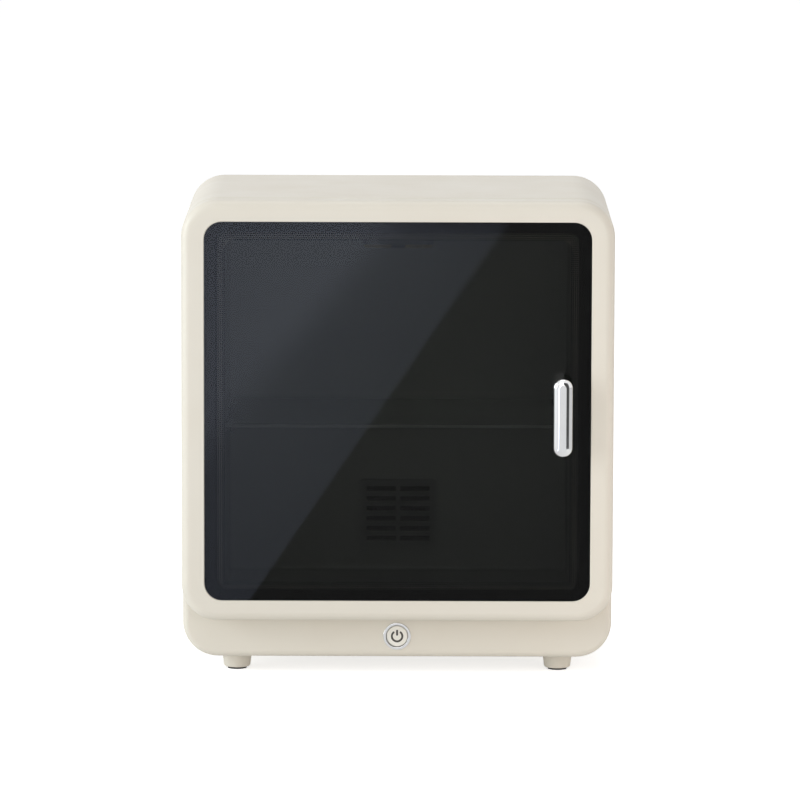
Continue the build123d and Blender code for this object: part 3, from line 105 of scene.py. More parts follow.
def build_moulded_grain():
    """Mottled colour and gloss with a fine eroded grain, for all mouldings."""
    tree, given, out = new_group(
        "ShaderNodeTree",
        "moulded_grain",
        [
            ("Colour", "NodeSocketColor"),
            ("Shade", "NodeSocketColor"),
            ("Gloss Low", "NodeSocketFloat"),
            ("Gloss High", "NodeSocketFloat"),
            ("Mottle Scale", "NodeSocketFloat"),
            ("Grain Scale", "NodeSocketFloat"),
            ("Grain Depth", "NodeSocketFloat"),
        ],
        [("Colour", "NodeSocketColor"), ("Roughness", "NodeSocketFloat"), ("Normal", "NodeSocketVector")],
    )
    place = add_node(tree, "ShaderNodeTexCoord").outputs["Object"]
    mottle = add_node(
        tree, "ShaderNodeTexNoise", {"Vector": place, "Scale": given["Mottle Scale"], "Detail": 4.0}
    ).outputs["Fac"]
    grain = add_node(
        tree, "ShaderNodeTexNoise", {"Vector": place, "Scale": given["Grain Scale"], "Detail": 2.0}
    ).outputs["Fac"]
    bump = add_node(
        tree, "ShaderNodeBump", {"Height": grain, "Distance": given["Grain Depth"], "Strength": 0.6}
    )
    tree.links.new(mixed_colour(tree, mottle, given["Colour"], given["Shade"]), out["Colour"])
    tree.links.new(mapped(tree, mottle, given["Gloss Low"], given["Gloss High"]), out["Roughness"])
    tree.links.new(bump.outputs["Normal"], out["Normal"])
    return tree


moulded_grain = build_moulded_grain()


def new_material(name):
    """An empty material, its node tree and its shader."""
    material = bpy.data.materials.new(name)
    material.use_nodes = True
    tree = material.node_tree
    return material, tree, tree.nodes["Principled BSDF"]


def wear_group(tree, shader, group, values):
    """Places a group with its values in a material and leads its outputs to the shader."""
    placed = add_node(tree, "ShaderNodeGroup", node_tree=group)
    for name, value in values.items():
        placed.inputs[name].default_value = value
    for name, socket in (("Colour", "Base Color"), ("Roughness", "Roughness"), ("Normal", "Normal")):
        if name in placed.outputs:
            tree.links.new(placed.outputs[name], shader.inputs[socket])
    return placed


def moulded(name, colour, shade, gloss, mottle_scale=25.0, grain_scale=2600.0, grain_depth=0.03 * MM):
    """Moulded plastic or rubber between two near colours, rougher where it is darker."""
    material, tree, shader = new_material(name)
    wear_group(
        tree,
        shader,
        moulded_grain,
        {
            "Colour": colour,
            "Shade": shade,
            "Gloss Low": gloss[0],
            "Gloss High": gloss[1],
            "Mottle Scale": mottle_scale,
            "Grain Scale": grain_scale,
            "Grain Depth": grain_depth,
        },
    )
    return material


def dress(material, *nodes):
    """Gives the CAD nodes this material in place of the plain one of their slot."""
    for name in nodes:
        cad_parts[name].data.materials[0] = material


ivory = moulded("ivory_moulding", srgb(227, 221, 208), srgb(225, 218, 204), (0.36, 0.46))
dress(ivory, "housing", "rear_cover", "door_frame", "door_back_frame", "feet")


# Screws: plated steel with a cross recess. They hold the rear cover, the liner's flange, the fan, the board,
# the hinges, the door's back, the inlet, the handle and the feet. Their places and sizes are the CAD solids'.
def build_plating():
    """Bright metal with slightly uneven colour and fine rubbed marks."""
    tree, given, out = new_group(
        "ShaderNodeTree",
        "plating_marks",
        [
            ("Colour", "NodeSocketColor"),
            ("Shade", "NodeSocketColor"),
            ("Gloss Low", "NodeSocketFloat"),
            ("Gloss High", "NodeSocketFloat"),
            ("Mark Scale", "NodeSocketFloat"),
        ],
        [("Colour", "NodeSocketColor"), ("Roughness", "NodeSocketFloat")],
    )
    place = add_node(tree, "ShaderNodeTexCoord").outputs["Object"]
    marks = add_node(
        tree,
        "ShaderNodeTexNoise",
        {"Vector": place, "Scale": given["Mark Scale"], "Detail": 6.0, "Roughness": 0.65},
    ).outputs["Fac"]
    tree.links.new(mixed_colour(tree, marks, given["Colour"], given["Shade"]), out["Colour"])
    tree.links.new(mapped(tree, marks, given["Gloss Low"], given["Gloss High"]), out["Roughness"])
    return tree


plating_marks = build_plating()


def plated(name, colour, shade, gloss, mark_scale=180.0):
    """Plated or bare metal with rubbed marks."""
    material, tree, shader = new_material(name)
    shader.inputs["Metallic"].default_value = 1.0
    wear_group(
        tree,
        shader,
        plating_marks,
        {
            "Colour": colour,
            "Shade": shade,
            "Gloss Low": gloss[0],
            "Gloss High": gloss[1],
            "Mark Scale": mark_scale,
        },
    )
    return material


steel = plated("zinc_plated_steel", srgb(205, 205, 203), srgb(184, 184, 180), (0.22, 0.36))


WELD_DISTANCE = 0.001 * MM


def solid_boxes(node):
    """The lowest and highest corner of each separate solid of a CAD node."""
    mesh = bmesh.new()
    mesh.from_mesh(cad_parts[node].data)
    bmesh.ops.remove_doubles(mesh, verts=mesh.verts, dist=WELD_DISTANCE)
    left = set(mesh.verts)
    boxes = []
    while left:
        edge_of_search = [left.pop()]
        reached = list(edge_of_search)
        while edge_of_search:
            for edge in edge_of_search.pop().link_edges:
                for vert in edge.verts:
                    if vert in left:
                        left.remove(vert)
                        edge_of_search.append(vert)
                        reached.append(vert)
        low = Vector(min(v.co[i] for v in reached) for i in range(3))
        high = Vector(max(v.co[i] for v in reached) for i in range(3))
        boxes.append((low, high))
    mesh.free()
    return sorted(boxes, key=lambda box: tuple(round(value, 5) for value in box[0]))


def new_piece(name, mesh):
    """An object at the origin that shows the mesh."""
    piece = bpy.data.objects.new(name, mesh)
    bpy.context.scene.collection.objects.link(piece)
    return piece


def cross_head_screw(name, profile, recess_radius, recess_width, recess_depth, sides=28):
    """A screw whose head looks along +Z from height 0, turned from a profile of radii and heights."""
    mesh = bmesh.new()
    rings = [
        [
            mesh.verts.new((radius * cos(2 * pi * i / sides), radius * sin(2 * pi * i / sides), height))
            for i in range(sides)
        ]
        for radius, height in profile
    ]
    for upper, lower in zip(rings, rings[1:]):
        for i in range(sides):
            face = mesh.faces.new((upper[i - 1], lower[i - 1], lower[i], upper[i]))
            face.smooth = True
    mesh.faces.new(reversed(rings[-1]))
    half = recess_width / 2
    arm = [(half, half), (half, recess_radius), (-half, recess_radius)]
    corners = [Matrix.Rotation(turn * pi / 2, 2) @ Vector(point) for turn in range(4) for point in arm]
    top_height = profile[0][1]
    taper_share = 0.62
    mouth = [mesh.verts.new((*corner, top_height)) for corner in corners]
    floor = [mesh.verts.new((*(corner * taper_share), top_height - recess_depth)) for corner in corners]
    for i in range(len(corners)):
        mesh.faces.new((mouth[i - 1], mouth[i], floor[i], floor[i - 1]))
    mesh.faces.new(floor)
    rim = [mesh.edges.get((rings[0][i - 1], rings[0][i])) for i in range(sides)]
    rim += [mesh.edges.get((mouth[i - 1], mouth[i])) for i in range(len(corners))]
    bmesh.ops.triangle_fill(mesh, edges=rim, use_beauty=True, normal=(0, 0, 1))
    bmesh.ops.recalc_face_normals(mesh, faces=mesh.faces)
    data = bpy.data.meshes.new(name)
    mesh.to_mesh(data)
    mesh.free()
    return new_piece(name, data)


def build_screw_rows():
    """Sets one like screw on every point, turned to look one way."""
    tree, given, out = new_group(
        "GeometryNodeTree",
        "screw_rows",
        [
            ("Places", "NodeSocketGeometry"),
            ("Screw", "NodeSocketObject"),
            ("Turn", "NodeSocketRotation"),
            ("Finish", "NodeSocketMaterial"),
        ],
        [("Screws", "NodeSocketGeometry")],
    )
    screw = add_node(tree, "GeometryNodeObjectInfo", {"Object": given["Screw"]}).outputs["Geometry"]
    rows = add_node(
        tree,
        "GeometryNodeInstanceOnPoints",
        {"Points": given["Places"], "Instance": screw, "Rotation": given["Turn"]},
    ).outputs["Instances"]
    real = add_node(tree, "GeometryNodeRealizeInstances", {"Geometry": rows}).outputs["Geometry"]
    made = add_node(tree, "GeometryNodeSetMaterial", {"Geometry": real, "Material": given["Finish"]})
    tree.links.new(made.outputs["Geometry"], out["Screws"])
    return tree


screw_rows = build_screw_rows()


def grown(name, tree, values, points=()):
    """The piece that a geometry tree makes from its values and, where it needs them, from points."""
    start = bpy.data.meshes.new(name)
    start.from_pydata([tuple(point) for point in points], [], [])
    piece = new_piece(name, start)
    modifier = piece.modifiers.new(name, "NODES")
    modifier.node_group = tree
    for item in tree.interface.items_tree:
        if item.item_type == "SOCKET" and item.in_out == "INPUT" and item.name in values:
            modifier[item.identifier] = values[item.name]
    depsgraph = bpy.context.evaluated_depsgraph_get()
    mesh = bpy.data.meshes.new_from_object(piece.evaluated_get(depsgraph), depsgraph=depsgraph)
    piece.modifiers.clear()
    piece.data = mesh
    return piece


LOOKS_REAR = ("y", 1, (-pi / 2, 0.0, 0.0))
LOOKS_FRONT = ("y", -1, (pi / 2, 0.0, 0.0))
LOOKS_DOWN = ("z", -1, (pi, 0.0, 0.0))
SHANK_SHARE = 0.5
TIP_SHARE = 0.4
RECESS_RADIUS_SHARE = 0.52
RECESS_WIDTH_SHARE = 0.2
RECESS_DEPTH_SHARE = 0.45


def pan_profile(radius, length, head_height):
    """A domed head on a shank, from the top of the head down."""
    shank = SHANK_SHARE * radius
    dome = [(0.62, 0.0), (0.82, 0.1), (0.94, 0.28), (1.0, 0.55), (1.0, 1.0)]
    return [(share * radius, -drop * head_height) for share, drop in dome] + [
        (shank, -head_height),
        (shank, shank - length),
        (TIP_SHARE * shank, -length),
    ]


def sunk_profile(radius, length, head_height):
    """A flat conical head on a shank, from the top of the head down."""
    shank = SHANK_SHARE * radius
    return [(radius, 0.0), (shank, -head_height), (shank, shank - length), (TIP_SHARE * shank, -length)]


def screw_set(node, body, looks, profile_of, head_share):
    """Cross-head screws in place of a CAD node's screws, with the node's places, radius and length."""
    axis, way, turn = looks
    along = "xyz".index(axis)
    boxes = solid_boxes(node)
    low, high = boxes[0]
    radius = (high.x - low.x) / 2
    length = high[along] - low[along]
    head_height = head_share * radius
    template = cross_head_screw(
        node + "_template",
        profile_of(radius, length, head_height),
        recess_radius=RECESS_RADIUS_SHARE * radius,
        recess_width=RECESS_WIDTH_SHARE * radius,
        recess_depth=RECESS_DEPTH_SHARE * radius,
    )
    tops = []
    for low, high in boxes:
        top = (low + high) / 2
        top[along] = high[along] if way > 0 else low[along]
        tops.append(top)
    piece = grown(node + "_cross_head", screw_rows, {"Screw": template, "Turn": turn, "Finish": steel}, tops)
    bpy.data.objects.remove(template)
    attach(piece, body)
    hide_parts(node)


for screws in ("rear_cover_screws", "liner_screws", "fan_screws", "board_screws"):
    screw_set(screws, "cabinet", LOOKS_REAR, pan_profile, head_share=0.7)
screw_set("inlet_screws", "cabinet", LOOKS_REAR, sunk_profile, head_share=0.5)
screw_set("hinge_screws", "cabinet", LOOKS_FRONT, sunk_profile, head_share=0.45)
screw_set("foot_screws", "cabinet", LOOKS_DOWN, pan_profile, head_share=0.75)
screw_set("door_frame_screws", "door", LOOKS_REAR, sunk_profile, head_share=0.5)
screw_set("handle_screws", "door", LOOKS_REAR, pan_profile, head_share=0.7)

# Steel pieces that are stamped, turned or cold-headed: hinge brackets and pins, strike plates, nuts and the
# shelf's pegs. They have the screws' zinc plating.
dress(
    steel,
    "hinge_bracket_lower",
    "hinge_bracket_upper",
    "hinge_pins",
    "strike_plates",
    "shelf_pegs",
    "duct_nuts",
    "lamp_nuts",
)


# Inner liner: a box folded from brushed stainless sheet and welded at its corners, screwed to the front wall
# by its flange. The brushing runs from side to side.
def build_brushing():
    """Colour, gloss and a slight ridge drawn out along one direction."""
    tree, given, out = new_group(
        "ShaderNodeTree",
        "brushed_lines",
        [
            ("Colour", "NodeSocketColor"),
            ("Shade", "NodeSocketColor"),
            ("Gloss Low", "NodeSocketFloat"),
            ("Gloss High", "NodeSocketFloat"),
            ("Line Density", "NodeSocketVector"),
            ("Line Depth", "NodeSocketFloat"),
        ],
        [("Colour", "NodeSocketColor"), ("Roughness", "NodeSocketFloat"), ("Normal", "NodeSocketVector")],
    )
    place = add_node(tree, "ShaderNodeTexCoord").outputs["Object"]
    drawn = add_node(
        tree, "ShaderNodeMapping", {"Vector": place, "Scale": given["Line Density"]}
    ).outputs["Vector"]
    lines = add_node(
        tree, "ShaderNodeTexNoise", {"Vector": drawn, "Scale": 1.0, "Detail": 5.0, "Roughness": 0.6}
    ).outputs["Fac"]
    bump = add_node(
        tree, "ShaderNodeBump", {"Height": lines, "Distance": given["Line Depth"], "Strength": 0.4}
    )
    tree.links.new(mixed_colour(tree, lines, given["Colour"], given["Shade"]), out["Colour"])
    tree.links.new(mapped(tree, lines, given["Gloss Low"], given["Gloss High"]), out["Roughness"])
    tree.links.new(bump.outputs["Normal"], out["Normal"])
    return tree


brushed_lines = build_brushing()


def brushed(name, colour, shade, gloss, line_density, line_depth=0.01 * MM):
    """Brushed metal with its lines drawn out where the density is low."""
    material, tree, shader = new_material(name)
    shader.inputs["Metallic"].default_value = 1.0
    wear_group(
        tree,
        shader,
        brushed_lines,
        {
            "Colour": colour,
            "Shade": shade,
            "Gloss Low": gloss[0],
            "Gloss High": gloss[1],
            "Line Density": line_density,
            "Line Depth": line_depth,
        },
    )
    return material


liner_finish = brushed(
    "brushed_liner", srgb(196, 198, 194), srgb(176, 178, 173), (0.38, 0.5), (14.0, 1400.0, 1400.0)
)
dress(liner_finish, "inner_liner")

# Vent grille: a slotted plate moulded in grey heat-stable plastic.
# It lies on the back wall, with a collar that goes through the liner's opening.
grille_finish = moulded("grey_grille", srgb(182, 183, 180), srgb(172, 173, 170), (0.42, 0.52))
dress(grille_finish, "vent_grille")

# Warm-air unit behind the liner: a glass-filled plastic duct, a heater core of aluminium bars and fins, a
# thermostat, and an axial fan in black plastic.
duct_finish = moulded(
    "heatproof_duct", srgb(52, 49, 46), srgb(42, 40, 38), (0.5, 0.62), 60.0, grain_scale=1800.0
)
dress(duct_finish, "heater_duct")
aluminium = brushed(
    "milled_aluminium", srgb(222, 223, 225), srgb(200, 202, 204), (0.3, 0.42), (900.0, 40.0, 900.0)
)
dress(aluminium, "uv_lamp_base")
# The heater core's aluminium is coloured dark as painted shade, which stands in for the shadow that falls on
# it behind the grille's slots.
shade_dark_aluminium = plated("aluminium_with_painted_shade", srgb(74, 72, 70), srgb(54, 52, 51), (0.45, 0.6))
dress(shade_dark_aluminium, "heater_core")
black_plastic = moulded("black_moulding", srgb(36, 36, 37), srgb(28, 28, 29), (0.38, 0.5))
dress(black_plastic, "fan_frame", "fan_rotor", "thermostat")

# Lamp: a milky quartz trough that hangs through the ceiling, over a board of UV emitters with amber lenses.
# Two short strips of painted warm glow lie in the trough's colour, one above the other, on each side of its
# middle.
lamp_low, lamp_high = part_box("uv_lamp_cover")
glow_from_middle = 16.7 * MM
glow_half_length = 11.0 * MM
glow_heights = (1.2 * MM, 9.6 * MM)
glow_half_height = 1.8 * MM
glow_fade = 1.6 * MM
lamp_cover_finish, lamp_tree, lamp_shader = new_material("milky_quartz")


def lamp_math(operation, first, second=0.0):
    """One step of the sums that find the strips of painted glow."""
    return add_node(lamp_tree, "ShaderNodeMath", {0: first, 1: second}, operation=operation).outputs["Value"]


def inside_glow(place, middle, apart, half):
    """1 near either of two places evenly to both sides of a middle, fading to 0 beyond half a strip."""
    from_middle = lamp_math("ABSOLUTE", lamp_math("SUBTRACT", place, middle))
    from_strip = lamp_math("ABSOLUTE", lamp_math("SUBTRACT", from_middle, apart))
    fade = {"Value": from_strip, "From Min": half - glow_fade / 2, "From Max": half + glow_fade / 2}
    fade |= {"To Min": 1.0, "To Max": 0.0}
    return add_node(lamp_tree, "ShaderNodeMapRange", fade, interpolation_type="SMOOTHSTEP").outputs["Result"]


lamp_place = add_node(lamp_tree, "ShaderNodeTexCoord").outputs["Object"]
lamp_axes = add_node(lamp_tree, "ShaderNodeSeparateXYZ", {"Vector": lamp_place}).outputs
lamp_milk = add_node(
    lamp_tree, "ShaderNodeTexNoise", {"Vector": lamp_place, "Scale": 90.0, "Detail": 4.0}
).outputs["Fac"]
glow_middle = lamp_low.z + sum(glow_heights) / 2
glow_apart = (glow_heights[1] - glow_heights[0]) / 2
# Mask of the strips of painted warm glow on the trough.
painted_lamp_glow = lamp_math(
    "MULTIPLY",
    inside_glow(lamp_axes["X"], (lamp_low.x + lamp_high.x) / 2, glow_from_middle, glow_half_length),
    inside_glow(lamp_axes["Z"], glow_middle, glow_apart, glow_half_height),
)
# The milky quartz colour, with the painted warm glow mixed in as bright amber where the strips lie.
lamp_tree.links.new(
    mixed_colour(
        lamp_tree,
        painted_lamp_glow,
        mixed_colour(lamp_tree, lamp_milk, srgb(182, 182, 176), srgb(172, 172, 166)),
        srgb(255, 236, 176),
    ),
    lamp_shader.inputs["Base Color"],
)
lamp_tree.links.new(mapped(lamp_tree, lamp_milk, 0.24, 0.34), lamp_shader.inputs["Roughness"])
lamp_shader.inputs["Transmission Weight"].default_value = 0.15
lamp_shader.inputs["IOR"].default_value = 1.46
dress(lamp_cover_finish, "uv_lamp_cover")
emitter_finish = moulded("amber_emitter", srgb(240, 214, 150), srgb(226, 190, 112), (0.12, 0.2), 400.0)
dress(emitter_finish, "uv_leds")


# Circuit boards: green lacquered laminate with copper tracks under the lacquer.
# The control board is screwed to the housing's bosses, and the lamp's board sits under the lamp base.
def laminate(name, lacquer, track, tracks_per_metre):
    """Lacquered laminate with square-cornered tracks that show through the lacquer."""
    material, tree, shader = new_material(name)
    place = add_node(tree, "ShaderNodeTexCoord").outputs["Object"]
    turned = add_node(
        tree, "ShaderNodeMapping", {"Vector": place, "Rotation": (pi / 2, 0.0, 0.0)}
    ).outputs["Vector"]
    tracks = add_node(
        tree,
        "ShaderNodeTexBrick",
        {
            "Vector": turned,
            "Color1": lacquer,
            "Color2": lacquer,
            "Mortar": track,
            "Scale": tracks_per_metre,
            "Mortar Size": 0.06,
            "Mortar Smooth": 0.3,
        },
    )
    gloss = add_node(tree, "ShaderNodeTexNoise", {"Vector": place, "Scale": 300.0}).outputs["Fac"]
    tree.links.new(tracks.outputs["Color"], shader.inputs["Base Color"])
    tree.links.new(mapped(tree, gloss, 0.22, 0.34), shader.inputs["Roughness"])
    return material


board_finish = laminate("green_laminate", srgb(34, 104, 58), srgb(72, 140, 82), 90.0)
dress(board_finish, "control_board", "uv_led_board")

# Components of the control: black moulded cases, and a transformer wrapped in yellow tape.
# They stand on the control board, apart from the door's sensor, which sits behind the front wall.
dress(
    black_plastic,
    "lead_headers",
    "tact_switch",
    "switch_plunger",
    "heater_relay",
    "door_sensor",
    "filter_capacitor",
)
tape_finish, tape_tree, tape_shader = new_material("wound_yellow_tape")
tape_place = add_node(tape_tree, "ShaderNodeTexCoord").outputs["Object"]
tape_turns = add_node(
    tape_tree,
    "ShaderNodeTexWave",
    {"Vector": tape_place, "Scale": 160.0, "Distortion": 0.6, "Detail": 2.0},
    bands_direction="Z",
).outputs["Fac"]
tape_tree.links.new(
    mixed_colour(tape_tree, tape_turns, srgb(206, 178, 66), srgb(232, 206, 96)),
    tape_shader.inputs["Base Color"],
)
tape_tree.links.new(mapped(tape_tree, tape_turns, 0.35, 0.5), tape_shader.inputs["Roughness"])
dress(tape_finish, "power_transformer")

# Leads inside the cabinet: stranded wire in smooth black sleeves.
# They run from the inlet, the heater and the lamp to the headers on the control board.
sleeve_finish = moulded("lead_sleeve", srgb(42, 42, 43), srgb(34, 34, 35), (0.34, 0.44), 120.0)
dress(sleeve_finish, "mains_lead", "heater_lead", "lamp_lead")

# Power inlet: a black moulded socket with three bright brass pins set in it.
# It is clamped behind the rear cover by two sunk screws.
dress(black_plastic, "power_inlet")
brass = plated("bright_brass", srgb(226, 198, 136), srgb(206, 176, 112), (0.16, 0.28), 260.0)
dress(brass, "inlet_pins")

# Shelf: one sheet of clear toughened glass with round corners, ground pale along its rim.
# It lies loose on four pegs in the liner's sides.
shelf_finish, shelf_tree, shelf_shader = new_material("clear_shelf_glass")
shelf_place = add_node(shelf_tree, "ShaderNodeTexCoord").outputs["Object"]
shelf_smears = add_node(
    shelf_tree, "ShaderNodeTexNoise", {"Vector": shelf_place, "Scale": 22.0, "Detail": 5.0}
).outputs["Fac"]
shelf_tree.links.new(
    mixed_colour(shelf_tree, shelf_smears, srgb(236, 246, 240), srgb(228, 240, 234)),
    shelf_shader.inputs["Base Color"],
)
shelf_tree.links.new(mapped(shelf_tree, shelf_smears, 0.01, 0.06), shelf_shader.inputs["Roughness"])
shelf_shader.inputs["Transmission Weight"].default_value = 1.0
shelf_shader.inputs["IOR"].default_value = 1.5
dress(shelf_finish, "glass_shelf")


def rim_band(name, low, high, corner, low_share, high_share, thickness, arc_steps=10):
    """A thin closed band around the rim of a sheet with rounded corners, between shares of its height."""
    mesh = bmesh.new()
    inner = Vector((high.x - corner, high.y - corner)), Vector((low.x + corner, low.y + corner))
    middles = [
        (inner[0].x, inner[0].y, 0.0),
        (inner[1].x, inner[0].y, pi / 2),
        (inner[1].x, inner[1].y, pi),
        (inner[0].x, inner[1].y, 3 * pi / 2),
    ]
    heights = [low.z + share * (high.z - low.z) for share in (low_share, high_share)]
    loops = []
    for offset, height in (
        (0.0, heights[0]),
        (thickness, heights[0]),
        (thickness, heights[1]),
        (0.0, heights[1]),
    ):
        loops.append(
            [
                mesh.verts.new(
                    (
                        x + (corner + offset) * cos(start + step * pi / 2 / arc_steps),
                        y + (corner + offset) * sin(start + step * pi / 2 / arc_steps),
                        height,
                    )
                )
                for x, y, start in middles
                for step in range(arc_steps + 1)
            ]
        )
    for k in range(4):
        below, above = loops[k - 1], loops[k]
        for i in range(len(below)):
            mesh.faces.new((below[i - 1], below[i], above[i], above[i - 1]))
    bmesh.ops.recalc_face_normals(mesh, faces=mesh.faces)
    data = bpy.data.meshes.new(name)
    mesh.to_mesh(data)
    mesh.free()
    return new_piece(name, data)


shelf_low, shelf_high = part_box("glass_shelf")
shelf_corner = 6.0 * MM
ground_depth = 0.05 * MM
ground_low_share = 0.12
ground_high_share = 0.98
ground_edge = rim_band(
    "shelf_ground_edge",
    shelf_low,
    shelf_high,
    shelf_corner,
    ground_low_share,
    ground_high_share,
    ground_depth,
)
ground_finish = moulded(
    "ground_glass", srgb(250, 252, 250), srgb(242, 246, 243), (0.55, 0.7), 300.0, grain_scale=2400.0
)
ground_edge.data.materials.append(ground_finish)
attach(ground_edge, "cabinet")

# Foot pads: round discs of black rubber.
# Each is let into the underside of a foot, and the cabinet stands on them.
rubber = moulded(
    "black_rubber", srgb(48, 47, 46), srgb(38, 38, 37), (0.7, 0.82), 80.0, 1500.0, grain_depth=0.06 * MM
)
dress(rubber, "foot_pads")

# Door seal and glass bedding: a grey silicone profile pressed into the groove of the door's back,
# and a black foam tape on which the pane is laid.
seal_finish = moulded("grey_silicone", srgb(196, 194, 188), srgb(184, 182, 176), (0.48, 0.6), 90.0)
dress(seal_finish, "door_gasket")
foam_finish = moulded(
    "black_foam_tape", srgb(26, 26, 26), srgb(20, 20, 20), (0.85, 0.95), 400.0, 900.0, grain_depth=0.1 * MM
)
dress(foam_finish, "glass_tape")

# Door glass: a pane of smoked toughened glass with a low-glare front.
# It is laid on the tape in the frame's rebate.
pane_finish, pane_tree, pane_shader = new_material("smoked_glass")
pane_place = add_node(pane_tree, "ShaderNodeTexCoord").outputs["Object"]
pane_smears = add_node(
    pane_tree, "ShaderNodeTexNoise", {"Vector": pane_place, "Scale": 9.0, "Detail": 4.0}
).outputs["Fac"]
pane_tree.links.new(
    mixed_colour(pane_tree, pane_smears, (0.15, 0.155, 0.149, 1.0), (0.142, 0.147, 0.142, 1.0)),
    pane_shader.inputs["Base Color"],
)
pane_tree.links.new(mapped(pane_tree, pane_smears, 0.008, 0.03), pane_shader.inputs["Roughness"])
pane_shader.inputs["Transmission Weight"].default_value = 1.0
pane_shader.inputs["IOR"].default_value = 1.5
pane_shader.inputs["Specular Tint"].default_value = (0.24, 0.24, 0.24, 1.0)
dress(pane_finish, "door_glass")


# Glass print: black ceramic ink fired on the pane's inner face, a solid border that ends in rows of
# shrinking dots. It hides the tape and the frame's ledge.
def build_printed_border(rows, row_shrink):
    """A flat band between two rounded rectangles, with rows of shrinking dots inside it."""
    corner_steps = 14
    dot_sides = 8
    sizes = ("Width", "Height", "Corner", "Inner Width", "Inner Height", "Inner Corner", "Inner Shift")
    tree, given, out = new_group(
        "GeometryNodeTree",
        "printed_border",
        [(size, "NodeSocketFloat") for size in (*sizes, "Dot Spacing", "Dot Radius", "Ink Thickness")]
        + [("Place", "NodeSocketVector"), ("Ink", "NodeSocketMaterial")],
        [("Print", "NodeSocketGeometry")],
    )

    def total(first, second, operation="ADD"):
        return add_node(tree, "ShaderNodeMath", {0: first, 1: second}, operation=operation).outputs["Value"]

    def vector(x, y, z):
        return add_node(tree, "ShaderNodeCombineXYZ", {"X": x, "Y": y, "Z": z}).outputs["Vector"]

    def rounded(width, height, corner, shift):
        outline = add_node(
            tree, "GeometryNodeCurvePrimitiveQuadrilateral", {"Width": width, "Height": height}
        ).outputs["Curve"]
        fillet = add_node(
            tree,
            "GeometryNodeFilletCurve",
            {"Curve": outline, "Radius": corner, "Count": corner_steps},
            mode="POLY",
        ).outputs["Curve"]
        moved = add_node(
            tree, "GeometryNodeTransform", {"Geometry": fillet, "Translation": vector(0.0, shift, 0.0)}
        )
        return moved.outputs["Geometry"]

    outer = rounded(given["Width"], given["Height"], given["Corner"], 0.0)
    inner = rounded(given["Inner Width"], given["Inner Height"], given["Inner Corner"], given["Inner Shift"])
    rims = add_node(tree, "GeometryNodeJoinGeometry")
    for rim in (outer, inner):
        tree.links.new(rim, rims.inputs["Geometry"])
    band = add_node(tree, "GeometryNodeFillCurve", {"Curve": rims.outputs["Geometry"]}).outputs["Mesh"]
    raised = add_node(
        tree,
        "GeometryNodeExtrudeMesh",
        {"Mesh": band, "Offset Scale": given["Ink Thickness"], "Individual": False},
    ).outputs["Mesh"]
    underside = add_node(tree, "GeometryNodeFlipFaces", {"Mesh": band}).outputs["Mesh"]
    parts = add_node(tree, "GeometryNodeJoinGeometry")
    for part in (raised, underside):
        tree.links.new(part, parts.inputs["Geometry"])
    closed = add_node(
        tree,
        "GeometryNodeMergeByDistance",
        {"Geometry": parts.outputs["Geometry"], "Distance": WELD_DISTANCE},
    ).outputs["Geometry"]
    printed = add_node(tree, "GeometryNodeJoinGeometry")
    tree.links.new(closed, printed.inputs["Geometry"])
    half_thickness = total(given["Ink Thickness"], 0.5, "MULTIPLY")
    for row in range(rows):
        inset = total(given["Dot Spacing"], row + 0.5, "MULTIPLY")
        twice = total(inset, 2.0, "MULTIPLY")
        line = rounded(
            total(given["Inner Width"], twice, "SUBTRACT"),
            total(given["Inner Height"], twice, "SUBTRACT"),
            total(given["Inner Corner"], inset, "SUBTRACT"),
            given["Inner Shift"],
        )
        points = add_node(
            tree, "GeometryNodeCurveToPoints", {"Curve": line, "Length": given["Dot Spacing"]}, mode="LENGTH"
        ).outputs["Points"]
        dot = add_node(
            tree,
            "GeometryNodeMeshCylinder",
            {
                "Vertices": dot_sides,
                "Radius": total(given["Dot Radius"], row_shrink**row, "MULTIPLY"),
                "Depth": given["Ink Thickness"],
            },
        ).outputs["Mesh"]
        raised_dot = add_node(
            tree,
            "GeometryNodeTransform",
            {"Geometry": dot, "Translation": vector(0.0, 0.0, half_thickness)},
        ).outputs["Geometry"]
        dots = add_node(
            tree, "GeometryNodeInstanceOnPoints", {"Points": points, "Instance": raised_dot}
        ).outputs["Instances"]
        tree.links.new(dots, printed.inputs["Geometry"])
    upright = add_node(
        tree,
        "GeometryNodeTransform",
        {
            "Geometry": printed.outputs["Geometry"],
            "Translation": given["Place"],
            "Rotation": (pi / 2, 0.0, 0.0),
        },
    ).outputs["Geometry"]
    real = add_node(tree, "GeometryNodeRealizeInstances", {"Geometry": upright}).outputs["Geometry"]
    made = add_node(tree, "GeometryNodeSetMaterial", {"Geometry": real, "Material": given["Ink"]})
    tree.links.new(made.outputs["Geometry"], out["Print"])
    return tree


ink_finish = moulded(
    "black_ceramic_ink", srgb(17, 17, 18), srgb(13, 13, 14), (0.4, 0.55), 300.0, 2000.0, 0.004 * MM
)
pane_low, pane_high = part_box("door_glass")
band_side = 10.2 * MM
band_top = 8.4 * MM
band_bottom = 8.6 * MM
print_margin = 0.6 * MM
print_corner = 13.2 * MM
print_inner_corner = 7.0 * MM
dot_spacing = 1.6 * MM
dot_radius = 0.68 * MM
ink_thickness = 0.04 * MM
ink_gap = 0.01 * MM
pane_middle = (pane_low + pane_high) / 2
pane_width = pane_high.x - pane_low.x
pane_height = pane_high.z - pane_low.z
glass_print = grown(
    "glass_print",
    build_printed_border(rows=4, row_shrink=0.93),
    {
        "Width": pane_width - 2 * print_margin,
        "Height": pane_height - 2 * print_margin,
        "Corner": print_corner,
        "Inner Width": pane_width - 2 * band_side,
        "Inner Height": pane_height - band_top - band_bottom,
        "Inner Corner": print_inner_corner,
        "Inner Shift": (band_bottom - band_top) / 2,
        "Dot Spacing": dot_spacing,
        "Dot Radius": dot_radius,
        "Ink Thickness": ink_thickness,
        "Place": (pane_middle.x, pane_high.y + ink_gap + ink_thickness, pane_middle.z),
        "Ink": ink_finish,
    },
)
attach(glass_print, "door")

